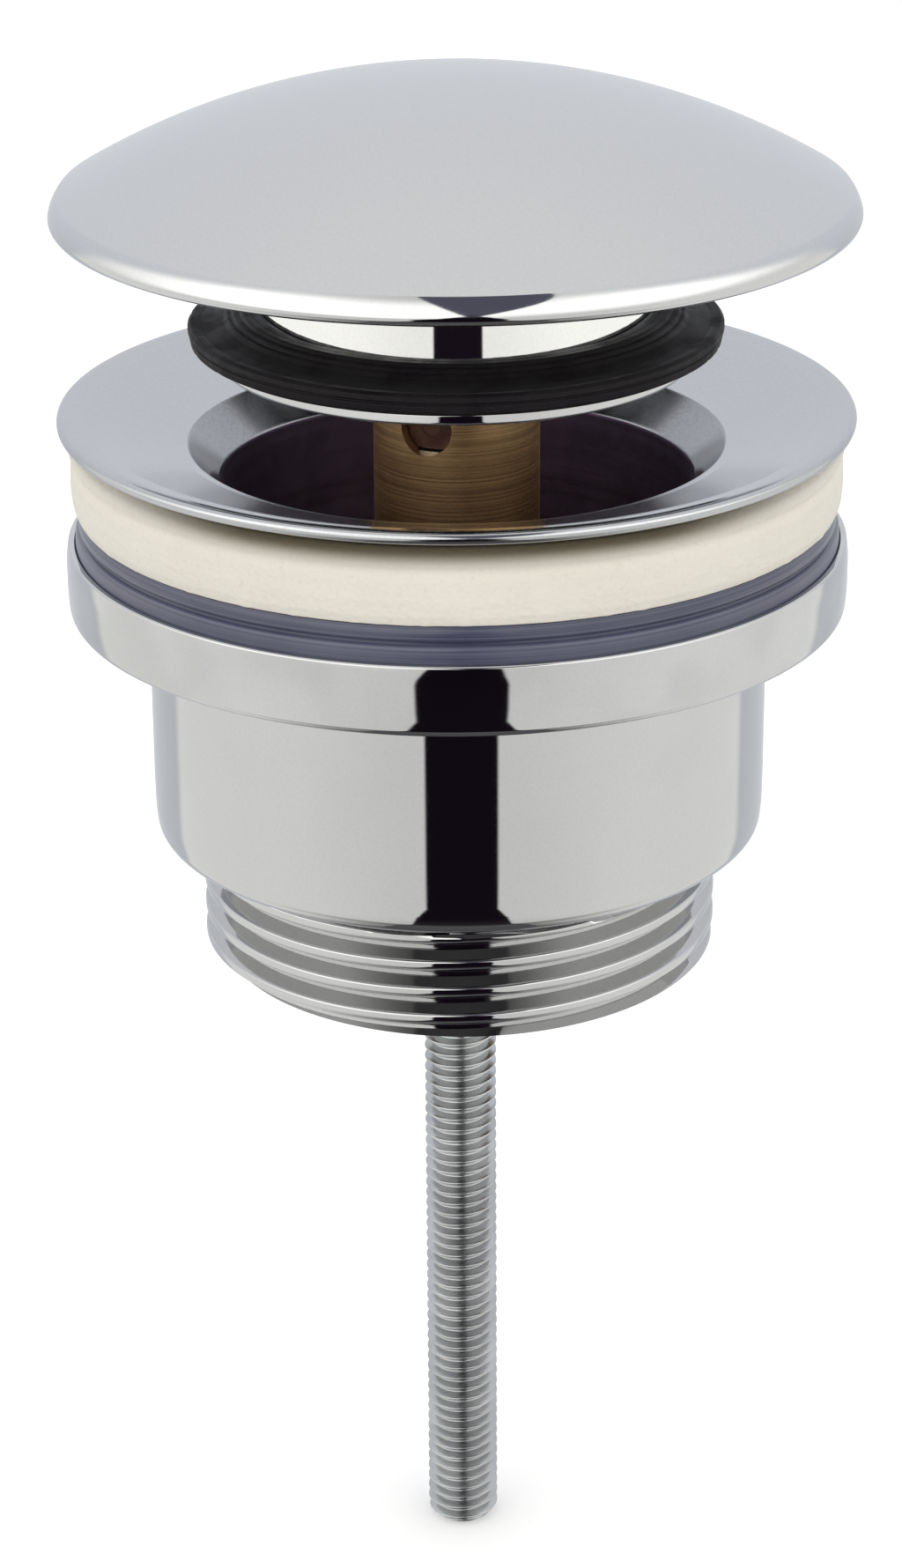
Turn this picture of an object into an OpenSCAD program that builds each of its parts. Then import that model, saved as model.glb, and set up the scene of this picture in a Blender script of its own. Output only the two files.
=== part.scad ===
// Pop up basin waste: a click plug over a clamped flange and tail.
// The origin is on the axis, in the plane where the foam washer meets the basin.

/* [Flange] */
// outside diameter of the flange
flange_d = 63; // [58:0.5:75]
// thickness of the flange at its rim
rim_t = 1; // [0.7:0.1:2]
// drop of the flange's top from the rim to the seat
dish_depth = 2.7; // [0.8:0.1:3.5]
// thickness of the flange beside the seat
flange_t = 2.3; // [1.5:0.1:4]
// bore of the throat
throat_d = 37.4; // [32:0.2:42]
// width of the conical seat
seat_w = 2.55; // [1.5:0.05:4]
// depth of the conical seat
seat_depth = 2.9; // [2.2:0.1:4]
// wall of the flange's tube
tube_wall = 1.5; // [1:0.1:2.5]

/* [Washers] */
// step from the collar's edge in to the foam washer's edge
washer_in = 0.4; // [0:0.05:4]
// bulge of the foam washer's edge
washer_bulge = 0.6; // [0.2:0.1:1.2]
// thickness of the foam washer at its edge
washer_t = 6.6; // [4:0.1:9]
// thickness of the gasket
gasket_t = 5; // [3.5:0.1:8]
// depth of the groove round the gasket
gasket_groove = 0.5; // [0.2:0.1:1]

/* [Lower body] */
// outside diameter of the collar
collar_d = 62.3; // [58:0.1:72]
// height of the collar
collar_h = 5.6; // [4:0.1:9]
// depth of the collar's cup for the gasket
cup_depth = 2.15; // [1:0.05:3]
// wall of the cup
cup_wall = 0.7; // [0.5:0.1:1.5]
// height of the pot below the collar
body_h = 19; // [17:0.5:40]
// wall of the pot
body_wall = 1.5; // [1:0.1:3]
// floor of the pot
body_floor = 2; // [1.5:0.1:4]
// rounding at the foot of the pot
foot_r = 2.2; // [0.5:0.1:3.5]
// rounding at the top of the collar
collar_top_r = 1.4; // [0.5:0.1:2]
// rounding at the foot of the collar
collar_low_r = 0.8; // [0.3:0.1:1.5]
// space between the tube and the pot, for overflow water
overflow_gap = 3.1; // [2:0.1:6]
// outside diameter of the tail's pipe thread
thread_d = 41.91; // [33.25:0.01:47.8]
// length of the tail
thread_l = 10.5; // [9:0.5:25]
// wall of the tail under the thread
tail_wall = 2.05; // [1.6:0.05:4]
// depth of the pipe thread's run out under the pot
relief_depth = 1.2; // [0.8:0.1:1.6]
// length of the pipe thread's run out under the pot
relief_l = 1.1; // [0.6:0.1:3]
// bevel at the start of the pipe thread
tail_bevel = 0.9; // [0.4:0.1:1.5]

/* [Clamp] */
// thread diameter of the bolt
bolt_d = 6; // [5:0.5:8]
// length of the bolt under its head
bolt_l = 68; // [60:1:120]
// thickness of the bolt's washer
bolt_washer_t = 0.8; // [0.5:0.1:1.6]
// floor of the hub under the washer
hub_floor = 2; // [1.5:0.1:4]
// wall of the hub
hub_wall = 2.3; // [1.5:0.1:4]
// width of a bridge arm
arm_w = 3.4; // [2.5:0.1:5]
// height of a bridge arm
arm_h = 3.6; // [2.5:0.1:5]
// thickness of a bridge's rim
rim_w = 1.6; // [1:0.1:3]
// lip at the foot of the tube that carries the upper bridge
tube_lip = 1.3; // [0.8:0.1:3]
// depth of the hub below the upper bridge's arms
hub_drop = 5.8; // [3:0.1:8]
// wall of the tapped hub round the bolt
nut_wall = 3.1; // [2:0.1:5]
// space round the bolt's head in the hub
head_space = 0.85; // [0.6:0.05:2]
// space over the bolt's head in the hub
head_room = 0.7; // [0.3:0.1:3]

/* [Plug] */
// diameter of the cap
cap_d = 63; // [50:0.2:75]
// height of the cap
cap_h = 10.7; // [7:0.1:18]
// radius of the cap's rounded lower edge
cap_edge_r = 0.6; // [0.3:0.1:1.2]
// radius of the cap's shoulder over the edge
shoulder_r = 3.4; // [2.6:0.1:5]
// lean of the shoulder where the dome starts
crease_angle = 40; // [25:1:48]
// metal over the hollow of the cap
cap_wall = 2.4; // [1.5:0.1:4]
// flat left round the neck under the cap
cap_land = 1.6; // [1:0.1:3]
// flat left inside the rim under the cap
cap_lip = 3; // [2:0.1:5]
// diameter of the plug's neck
neck_d = 32.4; // [28:0.2:36]
// height of the neck above the seal
neck_h = 7; // [4:0.1:12]
// wall of the plug under the cap
web_t = 2.2; // [1.5:0.1:4]
// wall of the neck
neck_wall = 3; // [2:0.1:5]
// thickness of the bottom disc
disc_t = 0.9; // [0.6:0.1:2]
// thickness of the seal's lip
lip_t = 1.3; // [0.8:0.1:2]
// depth of the plug's groove for the seal
groove_depth = 1; // [0.6:0.1:1.6]
// height of the seal below its lip
lip_drop = 1; // [0.6:0.1:1.4]
// height of the seal above its lip
seal_rise = 1.1; // [0.8:0.1:2]

/* [Cartridge] */
// travel of the plug
travel = 8.6; // [6:0.1:10]
// wall of the barrel
barrel_wall = 1; // [0.8:0.05:2]
// diameter of the barrel's side hole
side_hole_d = 4.2; // [3:0.1:4.6]
// direction of the side hole, from the right
side_angle = 248; // [180:1:360]
// height of the follower ring
ring_h = 3.6; // [3:0.1:6]
// wall of the follower ring
ring_wall = 1.25; // [0.8:0.05:2]
// diameter of the follower pin
pin_d = 1.5; // [1:0.1:2]
// turn of the follower ring over the travel
cam_angle = 50; // [40:1:60]
// depth of the heart shaped track
track_depth = 1.4; // [0.8:0.1:1.8]
// drop from the top of the track into its notch
notch_drop = 1.2; // [0.6:0.1:2]
// wire of the return spring
wire_d = 0.9; // [0.5:0.05:1.2]
// height of the plunger's piston
piston_h = 4; // [2:0.1:6]
// thickness of the retaining clip
clip_t = 0.8; // [0.6:0.1:1.2]
// length of the guide bush inside the barrel
bush_l = 1.7; // [1.2:0.1:4]
// thickness of the guide bush's head
bush_head = 0.8; // [0.5:0.1:2]
// length of the barrel's screwed spigot
spigot_l = 6; // [4:0.1:9]
// step from the spigot out to the barrel
spigot_step = 0.75; // [0.5:0.05:1.5]
// wall of the spigot
spigot_wall = 1.25; // [0.8:0.05:2]
// floor of the spring's chamber
chamber_floor = 1.5; // [0.8:0.1:3]
// thickness of the barrel's o-ring
o_ring_t = 1; // [0.8:0.1:1.6]
// length of the plunger's screwed stem in the cap
stem_l = 6; // [4:0.1:7]
// step from the plunger in to its stem
stem_step = 1.05; // [0.6:0.05:1.5]
// length of the plunger's peg in the spring
peg_l = 4; // [2:0.1:8]

/* [Fits] */
// gap between parts that turn or slide on each other
run_gap = 0.1; // [0.05:0.01:0.2]
// gap round the follower ring
ring_gap = 0.15; // [0.1:0.01:0.3]
// gap between parts that are screwed or pushed together
fit_gap = 0.05; // [0.02:0.01:0.1]
// gap round the pin in its track
track_gap = 0.25; // [0.2:0.01:0.4]
// gap between the lip and the seat
lip_gap = 0.25; // [0.1:0.01:0.6]
// gap left where a stop is reached
stop_gap = 0.4; // [0.3:0.05:1]
// gap between the foot of the tube and the pot, and between the hubs
foot_gap = 1; // [0.5:0.1:3]

/* [Hidden] */
$fn = 96;
over = 1;

// flange, from the basin plane up
rim_z = washer_t + rim_t;
recess_z = rim_z - dish_depth;
throat_z = recess_z - seat_depth;
under_z = recess_z - flange_t;
flange_r = flange_d / 2;
throat_r = throat_d / 2;
recess_r = throat_r + seat_w;
tube_r = throat_r + tube_wall;
bore_r = tube_r + overflow_gap;
body_r = bore_r + body_wall;

// lower body, from the basin plane down
collar_r = collar_d / 2;
cup_r = collar_r - cup_wall;
gasket_r = cup_r - fit_gap;
collar_z = cup_depth - gasket_t;
cup_z = -gasket_t;
shoulder_z = collar_z - collar_h;
foot_z = shoulder_z - body_h;
floor_z = foot_z + body_floor;
tail_z = foot_z - thread_l;
tail_r = thread_d / 2;
tail_bore_r = tail_r - tail_wall;
ledge_r = tail_bore_r - rim_w + 6 * fit_gap;

// bolt and bridges
bolt_r = bolt_d / 2;
head_r = bolt_d * 5 / 6;
head_h = bolt_d;
tube_z = floor_z + foot_gap;
bridge_z = tube_z + tube_lip;
hub_z = bridge_z - hub_drop;
hub_seat_z = hub_z + hub_floor;
head_z = hub_seat_z + bolt_washer_t;
bolt_end_z = head_z - bolt_l;
spigot_r = head_r + head_space;
hub_bore_r = spigot_r + fit_gap;
hub_r = hub_bore_r + hub_wall;
spigot_z = head_z + head_h + head_room;
hub_top_z = spigot_z + spigot_l - o_ring_t;
nut_z = tail_z + stop_gap;
nut_rim_z = nut_z + arm_h;
nut_top_z = hub_z - foot_gap;
nut_r = bolt_r + run_gap + nut_wall;

// plug, at rest in the open position
lip_z = recess_z + travel;
lip_r = recess_r - lip_gap;
disc_top_z = lip_z - lip_drop;
disc_z = disc_top_z - disc_t;
disc_r = throat_r;
seal_top_z = lip_z + lip_t + seal_rise;
neck_r = neck_d / 2;
groove_r = neck_r - groove_depth;
groove_top_z = seal_top_z - groove_depth * 0.9;
cap_z = seal_top_z + neck_h;
cap_r = cap_d / 2;
web_z = cap_z - web_t;
cap_in = cap_r - cap_edge_r;
cap_top_z = cap_z + cap_h;
shoulder_x = cap_r - shoulder_r;
crease_x = shoulder_x + shoulder_r * cos(crease_angle);
crease_z = cap_z + shoulder_r * sin(crease_angle);
dome_rise = cap_top_z - crease_z;
dome_r = (crease_x * crease_x + dome_rise * dome_rise) / (2 * dome_rise);
dome_z = cap_top_z - dome_r;

// cartridge, hung from the plug's closed position
barrel_r = spigot_r + spigot_step;
barrel_bore_r = barrel_r - barrel_wall;
bush_top_z = web_z - travel - stop_gap;
barrel_top_z = bush_top_z - bush_head;
bush_z = barrel_top_z - bush_l;
ring_r = barrel_bore_r - ring_gap;
ring_bore_r = ring_r - ring_wall;
plunger_r = ring_bore_r - ring_gap - fit_gap;
ring_z = bush_z - run_gap - ring_h;
pin_z = ring_z + ring_h / 2;
pin_r = pin_d / 2;
clip_z = ring_z - run_gap - clip_t;
clip_r = barrel_bore_r + barrel_wall * 0.35;
piston_top_z = clip_z - 3 * run_gap;
piston_z = piston_top_z - piston_h;
piston_r = barrel_bore_r - ring_gap;
chamber_z = spigot_z + chamber_floor;
spigot_bore_r = spigot_r - spigot_wall;
track_r = plunger_r - track_depth;
track_w = pin_r + track_gap;
stem_r = plunger_r - stem_step;
spring_r = spigot_bore_r - 2 * ring_gap - wire_d / 2;
spring_l = piston_z - chamber_z;
spring_turns = floor((spring_l - travel - 2 * stop_gap) / wire_d);
peg_r = spring_r - wire_d / 2 - 5 * run_gap;

// a rectangle in the turning plane, between two radii and two heights
module band(r0, r1, z0, z1) {
    translate([r0, z0]) square([r1 - r0, z1 - z0]);
}

// a drilling that points out from the axis at an angle
module radial_hole(angle, z, r, from, to) {
    rotate([0, 0, angle]) translate([from, 0, z]) rotate([0, 90, 0]) cylinder(r = r, h = to - from, $fn = 32);
}

module dome_cap() {
    color([0.8, 0.81, 0.82]) difference() {
        rotate_extrude() difference() {
            union() {
                difference() {
                    intersection() {
                        translate([0, dome_z]) circle(r = dome_r, $fn = 360);
                        band(0, cap_r, cap_z + cap_edge_r, cap_top_z + over);
                    }
                    difference() {
                        band(crease_x - over, cap_r + over, cap_z, crease_z + over);
                        translate([shoulder_x, cap_z]) circle(r = shoulder_r, $fn = 192);
                    }
                }
                band(0, cap_in, cap_z, cap_z + 2 * cap_edge_r);
                translate([cap_in, cap_z + cap_edge_r]) circle(r = cap_edge_r, $fn = 48);
            }
            intersection() {
                translate([0, dome_z]) circle(r = dome_r - cap_wall, $fn = 360);
                band(neck_r + cap_land, cap_in - cap_lip, cap_z - over, cap_top_z);
            }
            translate([-cap_d * 2, -cap_d * 4]) square([cap_d * 2, cap_d * 8]);
        }
        translate([0, 0, cap_z - over]) cylinder(r = stem_r + fit_gap, h = stem_l + stop_gap + over, $fn = 48);
    }
}

module plug_body() {
    color([0.76, 0.77, 0.78]) rotate_extrude() union() {
        band(neck_r - neck_wall, disc_r, disc_z, disc_top_z);
        band(neck_r - neck_wall, groove_r, disc_z, web_z);
        band(neck_r - neck_wall, neck_r, groove_top_z, cap_z);
        band(stem_r + fit_gap, neck_r, web_z, cap_z);
    }
}

module plug_seal() {
    color([0.08, 0.08, 0.09]) rotate_extrude() polygon([
        [groove_r, disc_top_z],
        [disc_r - lip_drop * 0.3, disc_top_z],
        [lip_r - lip_drop * 0.7, lip_z - lip_drop * 0.35],
        [lip_r, lip_z],
        [lip_r, lip_z + lip_t],
        [neck_r + 2.4, lip_z + lip_t + seal_rise * 0.3],
        [neck_r + 2.2, lip_z + lip_t + seal_rise * 0.55],
        [neck_r + 1.2, lip_z + lip_t + seal_rise * 0.6],
        [neck_r + 1, lip_z + lip_t + seal_rise * 0.9],
        [neck_r + 0.4, seal_top_z],
        [neck_r, seal_top_z],
        [neck_r, groove_top_z],
        [groove_r, groove_top_z]
    ]);
}

// one straight leg of the track, wrapped round the plunger with walls that point to the axis
module track_leg(a0, h0, a1, h1) {
    steps = 6;
    run = (a1 - a0) * PI / 180 * track_r;
    rise = h1 - h0;
    len = sqrt(run * run + rise * rise);
    side_a = track_w * rise / len / track_r * 180 / PI;
    side_h = -track_w * run / len;
    out_r = plunger_r + over;
    points = [for (i = [0:steps], c = [[-1, track_r], [1, track_r], [1, out_r], [-1, out_r]])
        let (a = a0 + (a1 - a0) * i / steps + c[0] * side_a, z = h0 + rise * i / steps + c[0] * side_h)
        [c[1] * cos(a), c[1] * sin(a), z]];
    sides = [for (i = [0:steps - 1], k = [0:3], t = [0, 1])
        let (p = i * 4 + k, q = i * 4 + (k + 1) % 4)
        t == 0 ? [p, q, p + 4] : [q, q + 4, p + 4]];
    ends = [[0, 2, 1], [0, 3, 2], [steps * 4, steps * 4 + 1, steps * 4 + 2],
        [steps * 4, steps * 4 + 2, steps * 4 + 3]];
    polyhedron(points = points, faces = concat(sides, ends));
}

// the heart shaped track: down one leg, over a lobe into the notch, over the other lobe and back
module heart_track() {
    corners = [[0, 0], [-cam_angle, travel], [0, travel - notch_drop], [cam_angle, travel]];
    for (i = [0:3]) {
        a = corners[i];
        b = corners[(i + 1) % 4];
        track_leg(side_angle + a[0], pin_z + a[1], side_angle + b[0], pin_z + b[1]);
        radial_hole(side_angle + a[0], pin_z + a[1], track_w, track_r, plunger_r + over);
    }
}

module cam_plunger() {
    color([0.78, 0.66, 0.4]) difference() {
        union() {
            translate([0, 0, piston_top_z - over]) cylinder(r = plunger_r, h = web_z - piston_top_z + over);
            translate([0, 0, piston_z]) cylinder(r = piston_r, h = piston_h);
            translate([0, 0, piston_z - peg_l]) cylinder(r = peg_r, h = peg_l + over);
            translate([0, 0, web_z - over]) cylinder(r = stem_r, h = web_t + stem_l + over, $fn = 48);
        }
        heart_track();
    }
}

module guide_bush() {
    color([0.72, 0.6, 0.34]) difference() {
        rotate_extrude() union() {
            band(plunger_r + run_gap, barrel_bore_r - fit_gap, bush_z, bush_top_z);
            band(plunger_r + run_gap, barrel_r, barrel_top_z, bush_top_z);
        }
        for (a = [0, 180]) {
            rotate([0, 0, a]) translate([barrel_r, 0, bush_top_z]) cube([2.4, 1.6, bush_head], center = true);
        }
    }
}

module follower_ring() {
    color([0.2, 0.12, 0.09]) difference() {
        rotate_extrude() band(ring_bore_r, ring_r, ring_z, ring_z + ring_h);
        radial_hole(side_angle, pin_z, pin_r, ring_bore_r - over, ring_r + over);
    }
}

module follower_pin() {
    color([0.7, 0.7, 0.72]) radial_hole(side_angle, pin_z, pin_r, track_r + 0.3, ring_r - 0.1);
}

module retaining_clip() {
    color([0.55, 0.56, 0.58]) rotate([0, 0, side_angle + 205]) rotate_extrude(angle = 310)
        band(plunger_r + 0.4, clip_r - fit_gap, clip_z, clip_z + clip_t);
}

// the coil closes up at both ends, so that it stands flat on its seats
module return_spring() {
    per_turn = 16;
    sides = 6;
    n = spring_turns * per_turn;
    low = chamber_z + wire_d / 2;
    rise = spring_l - wire_d;
    closed = wire_d / rise;
    points = [for (i = [0:n], k = [0:sides - 1])
        let (
            t = i / n * spring_turns,
            open_turns = spring_turns - 2,
            share = t < 1 ? t * closed
                : t > spring_turns - 1 ? 1 - (spring_turns - t) * closed
                : closed + (t - 1) / open_turns * (1 - 2 * closed),
            a = t * 360,
            r = spring_r + wire_d / 2 * cos(k * 360 / sides)
        )
        [r * cos(a), r * sin(a), low + share * rise + wire_d / 2 * sin(k * 360 / sides)]];
    skin = [for (i = [0:n - 1], k = [0:sides - 1], t = [0, 1])
        let (p = i * sides + k, q = i * sides + (k + 1) % sides)
        t == 0 ? [p, q, p + sides] : [q, q + sides, p + sides]];
    first = [for (k = [1:sides - 2]) [0, k + 1, k]];
    last = [for (k = [1:sides - 2]) [n * sides, n * sides + k, n * sides + k + 1]];
    color([0.62, 0.63, 0.65]) polyhedron(points = points, faces = concat(skin, first, last));
}

module cartridge_barrel() {
    color([0.7, 0.55, 0.28]) difference() {
        rotate_extrude() difference() {
            union() {
                band(0, spigot_r, spigot_z, spigot_z + spigot_l + over);
                band(0, barrel_r, spigot_z + spigot_l, barrel_top_z);
            }
            band(-over, spigot_bore_r, chamber_z, barrel_top_z + over);
            band(-over, barrel_bore_r, spigot_z + spigot_l + 0.6, barrel_top_z + over);
            band(-over, clip_r, clip_z - fit_gap, clip_z + clip_t + fit_gap);
        }
        radial_hole(side_angle, pin_z, side_hole_d / 2, 0, barrel_r + over);
    }
}

module barrel_o_ring() {
    color([0.1, 0.1, 0.1]) rotate_extrude() difference() {
        translate([(spigot_r + barrel_r) / 2 + 0.35, hub_top_z + o_ring_t / 2]) circle(r = o_ring_t / 2, $fn = 32);
        band(0, spigot_r + fit_gap, hub_top_z - over, hub_top_z + o_ring_t + over);
    }
}

module flange() {
    edge = rim_t / 2;
    color([0.82, 0.82, 0.83]) rotate_extrude() union() {
        polygon([
            [throat_r, tube_z],
            [tube_r, tube_z],
            [tube_r, under_z],
            [flange_r - edge, washer_t],
            [flange_r - edge, rim_z],
            [recess_r + 0.6, recess_z + 0.15],
            [recess_r, recess_z],
            [throat_r, throat_z]
        ]);
        translate([flange_r - edge, washer_t + edge]) circle(r = edge, $fn = 32);
        band(throat_r - 1.5, tube_r, tube_z, bridge_z);
    }
}

module bridge_arms(z, r) {
    for (a = [45, 135]) {
        rotate([0, 0, a]) translate([-r, -arm_w / 2, z]) cube([2 * r, arm_w, arm_h]);
    }
}

module upper_bridge() {
    rim_r = throat_r - fit_gap;
    color([0.74, 0.63, 0.38]) difference() {
        union() {
            rotate_extrude() band(rim_r - rim_w, rim_r, bridge_z, bridge_z + arm_h);
            bridge_arms(bridge_z, rim_r - rim_w / 2);
            translate([0, 0, hub_z]) cylinder(r = hub_r, h = hub_top_z - hub_z);
        }
        translate([0, 0, hub_seat_z]) cylinder(r = hub_bore_r, h = hub_top_z - hub_seat_z + over);
        translate([0, 0, hub_z - over]) cylinder(r = bolt_r + run_gap + 0.2, h = hub_floor + 2 * over, $fn = 48);
    }
}

module foam_washer() {
    out_r = collar_r - washer_in;
    slope = (washer_t - under_z) / (flange_r - rim_t / 2 - tube_r);
    in_r = tube_r + 2 * ring_gap;
    top_r = out_r - washer_bulge;
    color([0.87, 0.85, 0.79]) rotate_extrude() polygon([
        [in_r, 0],
        [out_r - 0.5, 0],
        [out_r - 0.1, washer_t * 0.12],
        [out_r, washer_t * 0.3],
        [out_r, washer_t * 0.5],
        [out_r - 0.15, washer_t * 0.72],
        [top_r, under_z + slope * (top_r - tube_r) - fit_gap],
        [in_r, under_z + slope * (in_r - tube_r) - fit_gap]
    ]);
}

module centre_bolt() {
    tip = bolt_d * 0.12;
    color([0.66, 0.67, 0.69]) difference() {
        union() {
            translate([0, 0, head_z]) cylinder(r = head_r, h = head_h - 0.5);
            translate([0, 0, head_z + head_h - 0.5]) cylinder(r1 = head_r, r2 = head_r - 0.5, h = 0.5);
            translate([0, 0, bolt_end_z + tip]) cylinder(r = bolt_r, h = bolt_l - tip + over);
            translate([0, 0, bolt_end_z]) cylinder(r1 = bolt_r - tip, r2 = bolt_r, h = tip);
        }
        translate([0, 0, head_z + head_h * 0.5]) cylinder(d = bolt_d * 0.96, h = head_h, $fn = 6);
    }
}

module bolt_washer() {
    color([0.6, 0.61, 0.63]) rotate_extrude()
        band(bolt_r + run_gap + 0.2, head_r + 0.6, hub_seat_z, hub_seat_z + bolt_washer_t - fit_gap);
}

module lower_gasket() {
    step_z = collar_z * 0.5;
    color([0.47, 0.47, 0.52]) rotate_extrude() polygon([
        [bore_r + fit_gap, cup_z],
        [gasket_r, cup_z],
        [gasket_r, collar_z + 0.3],
        [gasket_r - 0.1, step_z - 0.25],
        [gasket_r - gasket_groove, step_z - 0.1],
        [gasket_r - gasket_groove, step_z + 0.15],
        [gasket_r - 0.25, step_z + 0.35],
        [gasket_r - 0.35, 0],
        [bore_r + fit_gap, 0]
    ]);
}

module lower_body() {
    top_r = collar_top_r;
    low_r = collar_low_r;
    color([0.8, 0.8, 0.81]) rotate_extrude() difference() {
        union() {
            band(ledge_r, collar_r - top_r, shoulder_z, collar_z);
            band(ledge_r, collar_r, shoulder_z + low_r, collar_z - top_r);
            translate([collar_r - top_r, collar_z - top_r]) circle(r = top_r, $fn = 48);
            translate([collar_r - low_r, shoulder_z + low_r]) circle(r = low_r, $fn = 48);
            band(ledge_r, collar_r - low_r, shoulder_z, shoulder_z + low_r);
            band(ledge_r, body_r, foot_z + foot_r, shoulder_z + over);
            band(ledge_r, body_r - foot_r, foot_z, foot_z + foot_r);
            translate([body_r - foot_r, foot_z + foot_r]) circle(r = foot_r, $fn = 48);
            band(ledge_r, tail_r, tail_z, foot_z - relief_l);
            band(ledge_r, tail_r - relief_depth, tail_z + over, foot_z + over);
        }
        band(0, cup_r, cup_z, collar_z + over);
        band(0, bore_r, floor_z, collar_z + over);
        band(0, tail_bore_r, tail_z - over, nut_rim_z);
        polygon([[tail_r - relief_depth, foot_z - relief_l], [tail_r, foot_z - relief_l],
            [tail_r, foot_z - relief_l - relief_depth / 2]]);
        polygon([[tail_r - tail_bevel, tail_z], [tail_r, tail_z], [tail_r, tail_z + tail_bevel]]);
    }
}

module lower_bridge() {
    rim_r = tail_bore_r - fit_gap;
    color([0.74, 0.63, 0.38]) difference() {
        union() {
            rotate_extrude() band(rim_r - rim_w, rim_r, nut_z, nut_rim_z);
            bridge_arms(nut_z, rim_r - rim_w / 2);
            translate([0, 0, tail_z]) cylinder(r = nut_r, h = nut_top_z - tail_z);
        }
        translate([0, 0, tail_z - over]) cylinder(r = bolt_r + run_gap, h = nut_top_z - tail_z + 2 * over);
    }
}

dome_cap();
plug_body();
plug_seal();
cam_plunger();
guide_bush();
follower_ring();
follower_pin();
retaining_clip();
return_spring();
cartridge_barrel();
barrel_o_ring();
flange();
upper_bridge();
foam_washer();
centre_bolt();
bolt_washer();
lower_gasket();
lower_body();
lower_bridge();
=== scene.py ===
"""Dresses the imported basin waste: turned chrome, foam, rubber, brass and threaded steel pieces.

Run as a script. Every length is in metres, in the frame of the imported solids: the axis is Z and the
origin lies in the plane where the foam washer meets the basin.
"""

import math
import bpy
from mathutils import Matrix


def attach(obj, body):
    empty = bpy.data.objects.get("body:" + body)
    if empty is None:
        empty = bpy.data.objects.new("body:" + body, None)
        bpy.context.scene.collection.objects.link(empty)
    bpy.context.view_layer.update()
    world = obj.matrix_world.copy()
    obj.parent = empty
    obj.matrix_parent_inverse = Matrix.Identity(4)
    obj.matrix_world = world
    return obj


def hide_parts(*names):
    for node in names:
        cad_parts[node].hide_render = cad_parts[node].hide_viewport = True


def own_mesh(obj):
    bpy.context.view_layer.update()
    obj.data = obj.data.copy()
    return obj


bl_info = {
    "name": "Pop Up Basin Waste",
    "version": (1, 0, 0),
    "blender": (4, 5, 0),
    "location": "View3D > Sidebar > Basin Waste",
    "description": "Builds the dressed pieces of a pop up basin waste on its packed solids",
    "category": "Object",
}

import bmesh
import bpy
from mathutils import Matrix, Quaternion, Vector, noise

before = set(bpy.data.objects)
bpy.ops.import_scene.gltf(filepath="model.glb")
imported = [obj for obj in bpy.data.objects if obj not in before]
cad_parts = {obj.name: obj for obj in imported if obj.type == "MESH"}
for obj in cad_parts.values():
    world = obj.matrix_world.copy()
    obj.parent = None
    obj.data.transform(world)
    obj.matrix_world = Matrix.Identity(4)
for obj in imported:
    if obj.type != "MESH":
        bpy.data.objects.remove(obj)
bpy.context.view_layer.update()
FULL_TURN = 2.0 * math.pi
DEGREES = 180.0 / math.pi
MM = 0.001
FINE_SIDES = 256
CRISP, BROKEN, EASED = 0.0001, 0.0002, 0.0003  # usual roundings of an edge

# Corners of edges as (radius, height, rounding) in millimetres, from the point that the comment names.
SEAL_LIP = (  # lip's radius, disc's top
    (-0.9, 0.38, 0.4), (-0.2, 0.75, 0.15), (-0.1, 1.3, 0.1), (-0.3, 1.45, 0.1), (0.0, 1.6, 0.1),
    (0.0, 2.0, 0.15), (-0.25, 2.25, 0.1), (-0.8, 2.2, 0.1), (-1.0, 2.1, 0.1), (-1.9, 2.22, 0.6),
)
SEAL_RIDGE = ((2.0, 2.5, 0.3), (1.7, 2.85, 0.12), (1.4, 2.8, 0.1))  # neck's radius, disc's top
SEAL_CROWN = (  # neck's radius, seal's top
    (1.2, -0.3, 0.12), (0.8, -0.3, 0.1), (0.6, 0.0, 0.15), (0.0, 0.0, 0.05),
)
FLANGE_RIM = ((-0.6, -0.08, 0.0), (-1.8, -0.35, 3.0))  # inside the rim's rounding, rim's top
FLANGE_SEAT = ((0.9, 0.22, 1.2), (0.0, 0.0, 0.6))  # seat's radius, seat's top
FOAM_LOW = (  # foam's radius, its foot
    (-0.5, 0.0, 0.3), (-0.22, 0.8, 0.8), (-0.1, 2.0, 1.4), (-0.16, 3.5, 1.0),
)
FOAM_HIGH = ((-0.04, 4.8, 0.6), (-0.12, 5.5, 0.6))  # foam's radius, its foot
GASKET_LOW = ((-0.06, -0.45, 0.3), (-0.16, -0.22, 0.1))  # gasket's radius, middle of its seen part
GASKET_HIGH = ((-0.25, 0.32, 0.1), (-0.22, 0.8, 0.3))  # gasket's radius, middle of its seen part
POT_WALL = ((-0.04, 2.1, 12.0), (0.0, 4.6, 12.0))  # pot's radius, pot's foot
COLLAR_LOW = ((-0.14, 0.0, 0.6), (0.0, 1.5, 18.0))  # collar's radius, shoulder
COLLAR_HIGH = ((0.0, -1.1, 6.0), (-0.16, -0.1, 0.2), (-0.28, 0.0, 0.1))  # collar's radius, collar's top

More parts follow.
